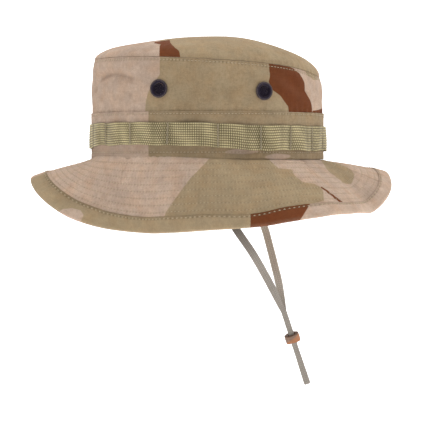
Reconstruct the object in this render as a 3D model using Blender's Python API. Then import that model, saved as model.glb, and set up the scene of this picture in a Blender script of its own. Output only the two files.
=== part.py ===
"""Boonie hat with a webbing foliage band, four screened vents and a sliding chin cord.

Frame: metres, +Z up. The origin is the centre of the head opening, in the plane where the crown
meets the brim. The hat's front is -X, its back is +X, and the wearer's left side is -Y.
Stations are angles round the head opening: 0 at the back, 90 on the wearer's right, 180 at the
front and 270 on the wearer's left.
"""

import math

import bmesh
import bpy
from mathutils import Matrix, Vector

# ---- Driving dimensions -------------------------------------------------------------------
HALF_LENGTH = 0.1039  # head ellipse at the outside of the base band, front to back
HALF_WIDTH = 0.0830  # the same, side to side
GAP = 0.0003  # clearance between neighbouring pieces
CLOTH = 0.0010  # one sewn layer with its interlining
CROWN_CLOTH = 0.0012

BAND_BOTTOM = 0.0005
BAND_TOP = 0.0420
CROWN_FOOT = 0.0426  # where the crown side clears the base band
TIP_SEAM_MIDDLE = 0.0860  # height of the tip seam halfway along the hat
TIP_SEAM_FALL = 0.0055
TIP_SEAM_DIP = 0.0050
TIP_SEAM_TWIST = 0.0025
DOME_TOP = 0.1100
DOME_POWER = 0.56
CROWN_SHIFT = -0.0003  # the stuffed crown stands a little forward
CROWN_SIDE_LEAN = 0.0010  # extra lean of the crown's flanks

# Crown profile above the base band: share of the height, and how far it stands out
CROWN_PROFILE = ((0.0, -0.0013), (0.18, -0.0009), (0.5, -0.0008), (0.8, -0.0014), (1.0, -0.0033))
# Rings of the domed tip, as shares of its radius, from the seam to the pole
TIP_RINGS = (1.0, 0.975, 0.92, 0.82, 0.66, 0.46, 0.24, 0.0)

BRIM_WIDTH = 0.0650
BRIM_FRONT_LOSS = 0.0085  # the front edge rolls, so it reaches this much less far out
BRIM_TUCK = 0.0023  # the brim's inner edge, under the crown's foot
FLANK_CURL = math.radians(17)  # how much steeper the flanks hang at the rim than on average
END_CURL = math.radians(8)
# Mean droop of the brim below level in degrees, every 15 degrees round the hat from the back
DROOP_DEG = (
    22, 9, 14, 27, 42, 52, 59, 66, 73, 66, 44, 18,
    17, 35, 62, 79, 81, 72, 65, 60, 52, 45, 43, 41,
)  # fmt: skip
DROOP_STEP = 15

BINDING_WIDTH = 0.0150
BINDING_CLOTH = 0.0008
BINDING_MIDDLE = 0.0080  # a ring of points inside the binding's edge
BRIM_RINGS = (0.0, 0.0080, 0.0200, 0.0340)  # distances from the crown, before the binding

SWEATBAND_BOTTOM = -0.0024
SWEATBAND_TOP = 0.0300

WEBBING_BOTTOM = 0.0095
WEBBING_TOP = 0.0310
WEBBING_THICK = 0.0008
WEBBING_BULGE = 0.0012
TACK_DEG = (
    212, 231, 251, 275, 296, 313, 331, 346, 0,
    18, 38, 58, 78, 98, 118, 138, 158, 180, 196,
)  # fmt: skip
# Each loop between two tacks: share of the loop, and share of the bulge
LOOP_SHAPE = ((0.0, 0.0), (0.06, 0.0), (0.3, 1.0), (0.7, 1.0), (0.94, 0.0))
TACK_WIDTH = 0.0022
TACK_THICK = 0.0005
TACK_MARGIN = 0.0008

VENT_PLACES = ((-0.0418, 0.0608), (0.0490, 0.0588))  # along the hat, and height
FLANGE_RADIUS = 0.0079
BARREL_RADIUS = 0.0056
BARREL_BORE = 0.0049
BARREL_DEPTH = 0.0032
WASHER_RADIUS = 0.0076
WASHER_THICK = 0.0006
WASHER_CLEARANCE = 0.0010  # the washer is flat and the cloth behind it is curved
SCREEN_THICK = 0.0004
ROUND_SIDES = 16

CORD_WIDTH = 0.0062
GATHERED_WIDTH = 0.0053  # where the slider and the braid's own twist gather the cords
CORD_THICK = 0.0020
CORD_BEVEL = 0.0008
HINGE_HEIGHT = -0.0030  # both cords swing about a line through the side anchors
ANCHOR_HALF_WIDTH = 0.0060
ANCHOR_BOTTOM = -0.0090
ANCHOR_TOP = 0.0060
ANCHOR_THICK = 0.0010
ANCHOR_CLEARANCE = 0.0004  # the tab is flat and the sweatband behind it is curved

SLIDER_PLACE = Vector((0.0763, 0.0, -0.1597))
SLIDER_AXIS = Vector((0.3047, 0.2419, -0.9208)).normalized()
SLIDER_HEIGHT = 0.0072
SLIDER_HALF_WIDTH = 0.0067
SLIDER_HALF_DEPTH = 0.0056
SLIDER_HOLE_HALF_WIDTH = 0.0033
SLIDER_HOLE_HALF_DEPTH = 0.0026
STRAIGHT_ABOVE = 0.0260  # both cords run straight and stacked this far above the slider
TAIL_BELOW = 0.0465
STRAIGHT_POINTS = 7

# Routes of the two cord legs, from the side anchors down to the straight stretch
LEFT_ROUTE = (
    (0.0000, -0.0761, -0.0030),
    (0.0028, -0.0747, -0.0110),
    (0.0088, -0.0668, -0.0280),
    (0.0163, -0.0555, -0.0445),
    (0.0248, -0.0448, -0.0600),
    (0.0390, -0.0325, -0.0810),
    (0.0495, -0.0225, -0.0990),
    (0.0573, -0.0155, -0.1135),
    (0.0626, -0.0110, -0.1245),
)
RIGHT_ROUTE = (
    (0.0000, 0.0761, -0.0030),
    (0.0100, 0.0742, -0.0115),
    (0.0300, 0.0630, -0.0260),
    (0.0437, 0.0500, -0.0430),
    (0.0518, 0.0370, -0.0607),
    (0.0568, 0.0220, -0.0793),
    (0.0610, 0.0085, -0.0968),
    (0.0640, 0.0005, -0.1100),
    (0.0666, -0.0038, -0.1240),
)

STATION_STEP = 7.5
STATIONS = [i * STATION_STEP for i in range(48)]
SEAM_DEG = 0.11  # half of the gap between two sewn halves


# ---- Scene and materials ------------------------------------------------------------------
def clear_scene():
    for thing in list(bpy.data.objects):
        bpy.data.objects.remove(thing)


def material(name, colour, roughness, metallic=0.0):
    made = bpy.data.materials.new(name)
    made.use_nodes = True
    shader = made.node_tree.nodes["Principled BSDF"]
    shader.inputs["Base Color"].default_value = (*colour, 1.0)
    shader.inputs["Roughness"].default_value = roughness
    shader.inputs["Metallic"].default_value = metallic
    return made


def cloth_materials():
    return {
        "tan": material("cotton_tan", (0.46, 0.34, 0.25), 0.9),
        "khaki": material("cotton_khaki", (0.33, 0.25, 0.15), 0.9),
        "webbing": material("nylon_webbing", (0.30, 0.25, 0.14), 0.7),
        "thread": material("sewing_thread", (0.42, 0.36, 0.22), 0.7),
        "enamel": material("black_enamel", (0.03, 0.02, 0.03), 0.4, 0.6),
        "screen": material("vent_screen", (0.02, 0.025, 0.04), 0.6),
        "braid": material("braided_nylon", (0.38, 0.33, 0.28), 0.75),
        "leather": material("leather", (0.39, 0.20, 0.11), 0.6),
        "label": material("label_cloth", (0.55, 0.50, 0.42), 0.85),
    }


# ---- Mesh building ------------------------------------------------------------------------
def add_object(name, bm, skin, smooth=True, origin=(0, 0, 0)):
    """Makes an object of bm, whose points are in the hat's frame, with its own origin at a point."""
    bmesh.ops.recalc_face_normals(bm, faces=bm.faces)
    mesh = bpy.data.meshes.new(name)
    bm.to_mesh(mesh)
    bm.free()
    mesh.transform(Matrix.Translation(-Vector(origin)))
    if smooth:
        mesh.shade_smooth()
        mesh.set_sharp_from_angle(angle=math.radians(35))
    mesh.materials.append(skin)
    thing = bpy.data.objects.new(name, mesh)
    thing.location = origin
    bpy.context.collection.objects.link(thing)
    return thing


def spread(point):
    """Grows outward and downward. It sets each face's diagonal, so that facing layers split alike."""
    return math.hypot(point.x, point.y) - point.z


def sweep_into(bm, sections, closed):
    """Skins a run of matching closed outlines, and caps both ends unless the run is closed.

    An outline's first half is one side of the wall and its second half the other side, backwards.
    """
    rows = [[bm.verts.new(point) for point in section] for section in sections]
    size = len(rows[0])
    last = len(rows) if closed else len(rows) - 1
    for i in range(last):
        here, there = rows[i], rows[(i + 1) % len(rows)]
        for j in range(size):
            k = (j + 1) % size
            if spread(here[j].co) < spread(here[k].co):
                bm.faces.new((here[j], there[j], there[k]))
                bm.faces.new((here[j], there[k], here[k]))
            else:
                bm.faces.new((here[j], there[j], here[k]))
                bm.faces.new((there[j], there[k], here[k]))
    if not closed:
        for row in (rows[0], rows[-1]):
            for j in range(size // 2 - 1):
                bm.faces.new((row[j], row[j + 1], row[size - 2 - j], row[size - 1 - j]))


def sweep(name, sections, skin, closed=True, smooth=True, origin=(0, 0, 0)):
    bm = bmesh.new()
    sweep_into(bm, sections, closed)
    return add_object(name, bm, skin, smooth, origin)


def revolve_into(bm, outline, frame):
    """Turns a closed outline of (radius, height) pairs round the Z axis of frame."""
    sections = []
    for i in range(ROUND_SIDES):
        turn = math.tau * i / ROUND_SIDES
        side = Vector((math.cos(turn), math.sin(turn), 0.0))
        sections.append([frame @ (side * r + Vector((0, 0, h))) for r, h in outline])
    sweep_into(bm, sections, True)


def weld(bm):
    bmesh.ops.remove_doubles(bm, verts=bm.verts, dist=1e-7)


# ---- Head ellipse and crown ---------------------------------------------------------------
def head_point(deg, out, height):
    """A point at a station, set out from the head ellipse along its normal."""
    t = math.radians(deg)
    normal = Vector((math.cos(t) / HALF_LENGTH, math.sin(t) / HALF_WIDTH, 0.0)).normalized()
    base = Vector((HALF_LENGTH * math.cos(t), HALF_WIDTH * math.sin(t), height))
    return base + normal * out


def tip_seam_height(deg):
    c = math.cos(math.radians(deg))
    return TIP_SEAM_MIDDLE - TIP_SEAM_FALL * c - TIP_SEAM_DIP * c**4 - TIP_SEAM_TWIST * c**5


def profile_out(share):
    for (low, out_low), (high, out_high) in zip(CROWN_PROFILE, CROWN_PROFILE[1:]):
        if share <= high:
            return out_low + (out_high - out_low) * (share - low) / (high - low)
    return CROWN_PROFILE[-1][1]


def crown_point(deg, share, inset=0.0):
    """A point on the crown's side above the base band, inset into the wall."""
    lean = CROWN_SIDE_LEAN * share * math.sin(math.radians(deg)) ** 2
    height = CROWN_FOOT + (tip_seam_height(deg) - CROWN_FOOT) * share
    point = head_point(deg, profile_out(share) - lean - inset, height)
    point.x += CROWN_SHIFT * min(1.0, 3.0 * share)
    return point


def tip_point(deg, share):
    """A point on the domed tip: share is 1 at the seam and 0 at the pole."""
    edge = crown_point(deg, 1.0)
    pole = Vector((CROWN_SHIFT, 0.0, DOME_TOP))
    rise = max(0.0, 1.0 - share * share) ** DOME_POWER
    point = pole + (edge - pole) * share
    point.z = edge.z + GAP + (DOME_TOP - edge.z - GAP) * rise
    return point


def normal_of(surface, deg, along, step_deg=0.5, step=0.0005):
    """The normal of surface(deg, along) from differences on both sides: up, where along runs outward."""
    round_way = surface(deg + step_deg, along) - surface(deg - step_deg, along)
    out_way = surface(deg, along + step) - surface(deg, along - step)
    return out_way.cross(round_way).normalized()


def half_stations(start):
    """Stations of one half of the hat, from a seam to the opposite seam."""
    middle = [start + i * STATION_STEP for i in range(1, 24)]
    return [start + SEAM_DEG, *middle, start + 180 - SEAM_DEG]


def crown_side_section(deg):
    lower = (BAND_BOTTOM, 0.0140, 0.0280, CROWN_FOOT)
    foot_out = CROWN_PROFILE[0][1]
    shares = [share for share, _ in CROWN_PROFILE[1:]]
    outer = [head_point(deg, foot_out, z) for z in lower]
    outer += [crown_point(deg, share) for share in shares]
    inner = [head_point(deg, foot_out - CROWN_CLOTH, z) for z in lower]
    inner += [crown_point(deg, share, CROWN_CLOTH) for share in shares]
    return outer + inner[::-1]


def tip_section(deg):
    outer = [tip_point(deg, share) for share in TIP_RINGS]
    inner = [crown_point(deg, 1.0, CROWN_CLOTH) + Vector((0, 0, GAP))]
    for share, point in zip(TIP_RINGS[1:-1], outer[1:-1]):
        inner.append(point - normal_of(tip_point, deg, share, step=0.004) * CROWN_CLOTH)
    inner.append(Vector((CROWN_SHIFT, 0.0, DOME_TOP - CROWN_CLOTH)))
    return outer + inner[::-1]


def make_crown(skins):
    left = sweep("crown_side_left", map_stations(crown_side_section, 180), skins["tan"], False)
    right = sweep("crown_side_right", map_stations(crown_side_section, 0), skins["tan"], False)
    bm = bmesh.new()
    sweep_into(bm, [tip_section(deg) for deg in STATIONS], True)
    weld(bm)
    add_object("crown_tip", bm, skins["khaki"])
    tape = [seam_tape_section(deg) for deg in STATIONS]
    sweep("crown_seam_tape", tape, skins["khaki"])
    return left, right


def map_stations(section, start):
    return [section(deg) for deg in half_stations(start)]


def seam_tape_section(deg):
    """The tape that covers the tip seam inside the crown."""
    near = CROWN_CLOTH + GAP
    far = near + 0.0006
    shares = (0.84, 0.985)
    outer = [crown_point(deg, share, near) for share in shares]
    inner = [crown_point(deg, share, far) for share in shares]
    return outer + inner[::-1]


# ---- Bands round the crown ----------------------------------------------------------------
def wall_section(deg, out, thick, heights):
    outer = [head_point(deg, out, z) for z in heights]
    inner = [head_point(deg, out - thick, z) for z in heights]
    return outer + inner[::-1]


def open_ring_stations():
    return [SEAM_DEG, *STATIONS[1:], 360 - SEAM_DEG]


def make_bands(skins):
    levels = (BAND_BOTTOM, BAND_TOP)
    band = [wall_section(deg, 0.0, CLOTH, levels) for deg in open_ring_stations()]
    sweep("base_band", band, skins["khaki"], False)
    out = CROWN_PROFILE[0][1] - CROWN_CLOTH - GAP
    levels = (SWEATBAND_BOTTOM, SWEATBAND_TOP)
    band = [wall_section(deg, out, CLOTH, levels) for deg in open_ring_stations()]
    sweep("sweatband", band, skins["khaki"], False)
    out -= CLOTH + GAP
    label = [wall_section(deg, out, 0.0004, (0.008, 0.024)) for deg in (-11, -7.5, 0, 7.5, 11)]
    sweep("size_label", label, skins["label"], False)
    return out


def webbing_stations():
    """Every station of the webbing, with how far the loop stands off the base band."""
    stations = []
    for i, start in enumerate(TACK_DEG):
        span = (TACK_DEG[(i + 1) % len(TACK_DEG)] - start) % 360
        for share, bulge in LOOP_SHAPE:
            stations.append((start + span * share, GAP + bulge * WEBBING_BULGE))
    return stations


def make_webbing(skins):
    levels = (WEBBING_BOTTOM, WEBBING_TOP)
    sections = [
        wall_section(deg, out + WEBBING_THICK, WEBBING_THICK, levels)
        for deg, out in webbing_stations()
    ]
    sweep("foliage_webbing", sections, skins["webbing"], smooth=False)
    make_bar_tacks(skins["thread"])


def make_bar_tacks(skin):
    """The dense stitches that hold the webbing down between its loops."""
    levels = (WEBBING_BOTTOM + TACK_MARGIN, WEBBING_TOP - TACK_MARGIN)
    out = GAP + WEBBING_THICK + GAP + TACK_THICK
    half_turn = math.degrees(TACK_WIDTH / 2 / HALF_LENGTH)
    for number, deg in enumerate(TACK_DEG, start=1):
        ends = [wall_section(deg + turn, out, TACK_THICK, levels) for turn in (-half_turn, half_turn)]
        sweep(f"bar_tack_{number:02d}", ends, skin, False, False)


# ---- Vents --------------------------------------------------------------------------------
def vent_frame(along, height, side):
    """The vent's frame on the crown's flank: its Z axis points out of the cloth."""
    deg = math.degrees(math.acos((along - CROWN_SHIFT) / HALF_LENGTH)) * side
    share = (height - CROWN_FOOT) / (tip_seam_height(deg) - CROWN_FOOT)
    place = crown_point(deg, share)
    normal = normal_of(crown_point, deg, share, step=0.05)
    if normal.y * side < 0:
        normal = -normal
    turn = normal.to_track_quat("Z", "Y").to_matrix().to_4x4()
    return Matrix.Translation(place) @ turn


def cut_hole(thing, frame):
    bm = bmesh.new()
    radius = BARREL_RADIUS + GAP
    bmesh.ops.create_cone(
        bm, cap_ends=True, segments=ROUND_SIDES, radius1=radius, radius2=radius, depth=0.008,
        matrix=frame,
    )  # fmt: skip
    mesh = bpy.data.meshes.new("vent_cutter")
    bm.to_mesh(mesh)
    bm.free()
    cutter = bpy.data.objects.new("vent_cutter", mesh)
    bpy.context.collection.objects.link(cutter)
    cut = thing.modifiers.new("vent", "BOOLEAN")
    cut.operation = "DIFFERENCE"
    cut.solver = "EXACT"
    cut.object = cutter
    cutter.hide_render = True
    cutter.display_type = "WIRE"


def make_vent(number, frame, skins):
    lift = 0.0004
    flange = [
        (BARREL_BORE, -BARREL_DEPTH),
        (BARREL_RADIUS, -BARREL_DEPTH),
        (BARREL_RADIUS, lift),
        (FLANGE_RADIUS - 0.0001, lift),
        (FLANGE_RADIUS, lift + 0.0003),
        (FLANGE_RADIUS - 0.0006, lift + 0.0008),
        (BARREL_RADIUS, lift + 0.0009),
        (BARREL_BORE, lift + 0.0005),
    ]
    back = -CROWN_CLOTH - WASHER_CLEARANCE
    bore = BARREL_RADIUS + GAP
    washer = [
        (bore, back - WASHER_THICK),
        (WASHER_RADIUS, back - WASHER_THICK),
        (WASHER_RADIUS, back),
        (bore, back),
    ]
    for name, outline, skin in (("eyelet", flange, "enamel"), ("washer", washer, "enamel")):
        bm = bmesh.new()
        revolve_into(bm, outline, frame)
        add_object(f"vent_{name}_{number}", bm, skins[skin])
    bm = bmesh.new()
    radius = BARREL_BORE - GAP
    place = frame @ Matrix.Translation((0, 0, -0.0008))
    bmesh.ops.create_cone(
        bm, cap_ends=True, segments=ROUND_SIDES, radius1=radius, radius2=radius,
        depth=SCREEN_THICK, matrix=place,
    )  # fmt: skip
    add_object(f"vent_screen_{number}", bm, skins["screen"], False)


def make_vents(left, right, skins):
    number = 1
    for thing, side in ((left, -1), (right, 1)):
        for along, height in VENT_PLACES:
            frame = vent_frame(along, height, side)
            cut_hole(thing, frame)
            make_vent(number, frame, skins)
            number += 1


# ---- Brim ---------------------------------------------------------------------------------
def mean_droop(deg):
    """The brim's mean droop at a station, on a smooth closed curve through DROOP_DEG."""
    place = (deg % 360) / DROOP_STEP
    i = int(place)
    f = place - i
    a, b, c, d = (DROOP_DEG[(i + k) % len(DROOP_DEG)] for k in (-1, 0, 1, 2))
    bent = b + 0.5 * f * (c - a + f * (2 * a - 5 * b + 4 * c - d + f * (3 * (b - c) + d - a)))
    return math.radians(bent)


def brim_width(deg):
    forward = max(0.0, -math.cos(math.radians(deg)))
    return BRIM_WIDTH - BRIM_FRONT_LOSS * forward**2


def brim_point(deg, reach):
    """A point on the brim's top, at a distance along the cloth from the crown."""
    if reach <= 0:
        return head_point(deg, reach, 0.0)
    width = brim_width(deg)
    end_share = math.cos(math.radians(deg)) ** 2
    steps = 24
    run = drop = 0.0
    for i in range(steps):
        u = min(1.0, reach * (i + 0.5) / steps / width)
        curl = FLANK_CURL * (1 - end_share) * (2 * u - 1) + END_CURL * end_share * (3 * u * u - 1)
        slope = mean_droop(deg) + curl
        run += math.cos(slope) * reach / steps
        drop += math.sin(slope) * reach / steps
    return head_point(deg, run, -drop)


def below_brim(deg, reach, depth):
    """A point under (or, with a negative depth, over) the brim's top surface."""
    return brim_point(deg, reach) - normal_of(brim_point, deg, reach) * depth


def brim_reaches(deg):
    width = brim_width(deg)
    outer = (width - BINDING_WIDTH, width - BINDING_MIDDLE, width)
    return (-BRIM_TUCK, *BRIM_RINGS, *outer)


def brim_section(deg, depth):
    """One layer of the brim, from the crown to the rim, with its top at a depth."""
    reaches = brim_reaches(deg)
    upper = [below_brim(deg, reach, depth) for reach in reaches]
    lower = [below_brim(deg, reach, depth + CLOTH) for reach in reaches]
    return upper + lower[::-1]


def binding_section(deg):
    width = brim_width(deg)
    top = -GAP
    bottom = 2 * CLOTH + GAP + GAP
    rim = 0.00035
    edge = rim + BINDING_CLOTH
    inner = width - BINDING_WIDTH
    middle = width - BINDING_MIDDLE
    outside = (
        (inner, top - BINDING_CLOTH),
        (middle, top - BINDING_CLOTH),
        (width, top - BINDING_CLOTH),
        (width + edge, top + BINDING_CLOTH / 2),
        (width + edge, bottom - BINDING_CLOTH / 2),
        (width, bottom + BINDING_CLOTH),
        (middle, bottom + BINDING_CLOTH),
        (inner, bottom + BINDING_CLOTH),
    )
    inside = (
        (inner, bottom),
        (middle, bottom),
        (width, bottom),
        (width + rim, bottom),
        (width + rim, top),
        (width, top),
        (middle, top),
        (inner, top),
    )
    return [below_brim(deg, reach, depth) for reach, depth in outside + inside]


def make_brim(skins):
    layers = (("upper", 0.0, "tan"), ("lower", CLOTH + GAP, "khaki"))
    for name, depth, skin in layers:
        for side, start in (("left", 180), ("right", 0)):
            sections = [brim_section(deg, depth) for deg in half_stations(start)]
            sweep(f"brim_{name}_{side}", sections, skins[skin], False)
    sweep("brim_binding", [binding_section(deg) for deg in STATIONS], skins["khaki"])


# ---- Chin cord ----------------------------------------------------------------------------
def smooth_route(points, per_span=4):
    """Points on a smooth curve through the route's own points."""
    ends = [2 * points[0] - points[1], *points, 2 * points[-1] - points[-2]]
    route = []
    for i in range(len(points) - 1):
        a, b, c, d = ends[i : i + 4]
        for k in range(per_span):
            f = k / per_span
            bent = b + 0.5 * f * (
                (c - a) + f * (2 * a - 5 * b + 4 * c - d + f * (3 * (b - c) + d - a))
            )
            route.append(bent)
    return [*route, points[-1]]


def stack_normal():
    """Across the two stacked cords, towards the wearer's left."""
    toward = Vector((0, -1, 0))
    return (toward - SLIDER_AXIS * toward.dot(SLIDER_AXIS)).normalized()


def cord_route(legs, side):
    """The whole centreline of one cord; side is 1 for the left cord and -1 for the right."""
    offset = stack_normal() * side * (CORD_THICK + GAP) / 2
    start = SLIDER_PLACE - SLIDER_AXIS * STRAIGHT_ABOVE + offset
    end = SLIDER_PLACE + SLIDER_AXIS * TAIL_BELOW + offset
    straight = [start.lerp(end, i / (STRAIGHT_POINTS - 1)) for i in range(STRAIGHT_POINTS)]
    leg = smooth_route([Vector(p) for p in legs] + straight[:1])
    return leg[:-1] + straight


def ribbon_sections(route, gathered_from):
    """Outlines of a flat braid along its route, narrower from a given point on."""
    half = CORD_THICK / 2
    sections = []
    for i, point in enumerate(route):
        way = (route[min(i + 1, len(route) - 1)] - route[max(i - 1, 0)]).normalized()
        across = way.cross(Vector((0, 1, 0))).normalized()
        through = across.cross(way)
        edge = (GATHERED_WIDTH if i >= gathered_from else CORD_WIDTH) / 2
        flat = edge - CORD_BEVEL
        outline = ((-edge, 0), (-flat, half), (flat, half), (edge, 0), (flat, -half), (-flat, -half))
        sections.append([point + across * a + through * b for a, b in outline])
    return sections


def make_cords(band_out, skins):
    for name, legs, side in (("left", LEFT_ROUTE, 1), ("right", RIGHT_ROUTE, -1)):
        route = cord_route(legs, side)
        ribbon = ribbon_sections(route, len(route) - STRAIGHT_POINTS)
        sweep(f"chin_cord_{name}", ribbon, skins["braid"], False, origin=(0, 0, HINGE_HEIGHT))
        wall = HALF_WIDTH + band_out - ANCHOR_CLEARANCE
        bm = bmesh.new()
        size = Vector((2 * ANCHOR_HALF_WIDTH, ANCHOR_THICK, ANCHOR_TOP - ANCHOR_BOTTOM))
        middle = Vector((0, -side * (wall - ANCHOR_THICK / 2), (ANCHOR_TOP + ANCHOR_BOTTOM) / 2))
        bmesh.ops.create_cube(bm, size=1.0, matrix=Matrix.Translation(middle) @ Matrix.Diagonal((*size, 1)))
        add_object(f"cord_anchor_{name}", bm, skins["khaki"], False)


def superellipse(half_width, half_depth, turn, power=2.6):
    c, s = math.cos(turn), math.sin(turn)
    return (
        half_width * math.copysign(abs(c) ** (2 / power), c),
        half_depth * math.copysign(abs(s) ** (2 / power), s),
    )


def make_slider(skins):
    """A leather ring round both cords."""
    through = stack_normal()
    across = SLIDER_AXIS.cross(through).normalized()
    half = SLIDER_HEIGHT / 2
    sections = []
    for i in range(ROUND_SIDES):
        turn = math.tau * i / ROUND_SIDES
        ox, oy = superellipse(SLIDER_HALF_WIDTH, SLIDER_HALF_DEPTH, turn)
        ix, iy = superellipse(SLIDER_HOLE_HALF_WIDTH, SLIDER_HOLE_HALF_DEPTH, turn, 6.0)
        outer = SLIDER_PLACE + across * ox + through * oy
        inner = SLIDER_PLACE + across * ix + through * iy
        rim = outer.lerp(inner, 0.18)
        up = SLIDER_AXIS * half
        soft = SLIDER_AXIS * half * 0.7
        sections.append([rim - up, outer - soft, outer + soft, rim + up, inner + up, inner - up])
    sweep("cord_slider", sections, skins["leather"], origin=SLIDER_PLACE)


def main():
    clear_scene()
    skins = cloth_materials()
    left, right = make_crown(skins)
    make_vents(left, right, skins)
    inside_out = make_bands(skins)
    make_webbing(skins)
    make_brim(skins)
    make_cords(inside_out, skins)
    make_slider(skins)


main()
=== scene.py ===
"""Looks of the boonie hat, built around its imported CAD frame.

Frame: metres, +Z up. The hat's front is -X, its back is +X, and the wearer's left side is -Y.
Stations are angles in degrees round the head opening: 0 at the back, 90 on the wearer's right,
180 at the front and 270 on the wearer's left. Every cloth surface is a grid of points: one row
of points for each station.
"""

import math

import bmesh
import bpy
import numpy as np
from mathutils import Matrix, Vector


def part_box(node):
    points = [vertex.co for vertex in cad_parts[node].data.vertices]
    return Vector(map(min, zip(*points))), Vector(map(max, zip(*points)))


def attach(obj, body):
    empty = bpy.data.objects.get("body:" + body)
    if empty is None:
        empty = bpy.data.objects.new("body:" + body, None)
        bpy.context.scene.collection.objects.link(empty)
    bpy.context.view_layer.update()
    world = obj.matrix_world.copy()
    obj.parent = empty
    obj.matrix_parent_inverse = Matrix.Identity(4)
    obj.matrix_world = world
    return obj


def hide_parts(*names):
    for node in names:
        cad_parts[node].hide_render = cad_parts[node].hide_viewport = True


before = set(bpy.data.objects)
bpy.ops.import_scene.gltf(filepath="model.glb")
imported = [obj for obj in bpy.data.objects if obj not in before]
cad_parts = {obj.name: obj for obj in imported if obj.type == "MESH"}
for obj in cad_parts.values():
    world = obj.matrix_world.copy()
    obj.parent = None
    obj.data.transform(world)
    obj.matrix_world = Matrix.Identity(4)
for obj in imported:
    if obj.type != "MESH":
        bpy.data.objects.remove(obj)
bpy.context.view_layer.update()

MM = 0.001

# ---- Dimensions read from the frame -------------------------------------------------------
band_low, band_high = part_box("base_band")
HALF_LENGTH = (band_high.x - band_low.x) / 2
HALF_WIDTH = (band_high.y - band_low.y) / 2
BAND_BOTTOM, BAND_TOP = band_low.z, band_high.z
WEBBING_BOTTOM, WEBBING_TOP = (corner.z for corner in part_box("foliage_webbing"))
SWEAT_BOTTOM, SWEAT_TOP = (corner.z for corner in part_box("sweatband"))
DOME_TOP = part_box("crown_tip")[1].z

# ---- Dimensions of the design, as in the part's source -------------------------------------
GAP = 0.3 * MM
CLOTH = 1.0 * MM
CROWN_CLOTH = 1.2 * MM
CROWN_FOOT = 42.6 * MM
TIP_SEAM = (86.0 * MM, -5.5 * MM, 0.0, 0.0, -5.0 * MM, -2.5 * MM)  # powers of cos(station)
DOME_POWER = 0.56
CROWN_SHIFT = -0.3 * MM
CROWN_LEAN = 1.0 * MM
PROFILE_SHARE = (0.0, 0.18, 0.5, 0.8, 1.0)
PROFILE_OUT = (-1.3 * MM, -0.9 * MM, -0.8 * MM, -1.4 * MM, -3.3 * MM)
BRIM_WIDTH = 65.0 * MM
BRIM_FRONT_LOSS = 8.5 * MM
BRIM_TUCK = 2.3 * MM
BRIM_THICK = 2 * CLOTH + GAP
FLANK_CURL = math.radians(17)
END_CURL = math.radians(2)
BRIM_RUN = 1.1  # how far the brim's curve is followed, in brim widths
BRIM_STEPS = 90
TABLE_STEP = 15
DROOP_DEG = (
    22, 9, 14, 27, 42, 52, 59, 66, 73, 66, 44, 18,
    17, 35, 62, 79, 81, 72, 65, 60, 52, 45, 43, 41,
)  # fmt: skip
TACK_DEG = (
    212, 231, 251, 275, 296, 313, 331, 346, 360,
    378, 398, 418, 438, 458, 478, 498, 518, 540, 556,
)  # fmt: skip
VENT_PLACES = ((-41.8 * MM, 60.8 * MM), (49.0 * MM, 58.8 * MM))
FLANGE_RADIUS = 7.9 * MM
BARREL_BORE = 4.9 * MM
VENT_CUT = 6.5 * MM  # radius of the hole in the cloth
CORD_WIDTH = 6.9 * MM
GATHERED_WIDTH = 5.2 * MM
CORD_THICK = 2.0 * MM
SLIDER_PLACE = Vector((0.0763, 0.0, -0.1597))
SLIDER_AXIS = Vector((0.3047, 0.2419, -0.9208)).normalized()
SLIDER_HEIGHT = 7.2 * MM
STRAIGHT_ABOVE = 26.0 * MM
TAIL_BELOW = 46.5 * MM
LEFT_ROUTE = (
    (0.0000, -0.0761, -0.0030),
    (0.0028, -0.0747, -0.0110),
    (0.0088, -0.0668, -0.0280),
    (0.0163, -0.0555, -0.0445),
    (0.0248, -0.0448, -0.0600),
    (0.0390, -0.0325, -0.0810),
    (0.0495, -0.0225, -0.0990),
    (0.0573, -0.0155, -0.1135),
    (0.0626, -0.0110, -0.1245),
)
RIGHT_ROUTE = (
    (0.0000, 0.0761, -0.0030),
    (0.0100, 0.0742, -0.0115),
    (0.0300, 0.0630, -0.0260),
    (0.0437, 0.0500, -0.0430),
    (0.0518, 0.0370, -0.0607),
    (0.0568, 0.0220, -0.0793),
    (0.0610, 0.0085, -0.0968),
    (0.0640, 0.0005, -0.1100),
    (0.0666, -0.0038, -0.1240),
)

# ---- Colours, linear ----------------------------------------------------------------------
PINK_TAN = (0.460, 0.343, 0.264)
KHAKI = (0.334, 0.253, 0.154)
BROWN = (0.144, 0.043, 0.014)
WEBBING_PALE = (0.668, 0.562, 0.305)
# Colour of the webbing's gaps, painted as shade
WEBBING_GAP_SHADE = (0.085, 0.064, 0.028)
THREAD = (0.415, 0.335, 0.215)
TACK_THREAD = (0.340, 0.280, 0.180)
ENAMEL = (0.015, 0.010, 0.021)
BRONZE = (0.115, 0.088, 0.078)
# Set pale so that the far cord, which lies in the brim's shade, still reads light, as painted light;
# the near cord is painted darker from it
BRAID = (0.800, 0.725, 0.640)
LEATHER = (0.390, 0.165, 0.075)
SUEDE = (0.240, 0.150, 0.105)
LABEL = (0.620, 0.575, 0.500)
TAPE = (0.370, 0.300, 0.190)
LINING = (0.350, 0.280, 0.170)
CLOTH_BACK = (0.500, 0.400, 0.290)
WORN_CLOTH = (0.620, 0.500, 0.380)
# Dark cloth colour mixed in as painted shade in seams, needle holes and shadows, and for the band's
# darker tint
CLOTH_SHADE = (0.120, 0.085, 0.050)
BURNISHED = (0.150, 0.055, 0.025)
WARM_TINT = (1.0, 0.93, 0.86, 1.0)
# Tint that the cords are darkened towards: painted shade under the brim, and where the cords gather
CORD_SHADE_TINT = (0.10, 0.085, 0.07, 1.0)

# ---- Camera, lights and backdrop ----------------------------------------------------------
VIEW_TARGET = Vector((2.7 * MM, 0.0, -45.3 * MM))
VIEW_RISE = math.radians(1.5)
VIEW_DISTANCE = 1.6
LENS_MM = 152.5
SENSOR_MM = 36.0
HAT_MIDDLE = (0.0, 0.0, 0.0)
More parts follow.
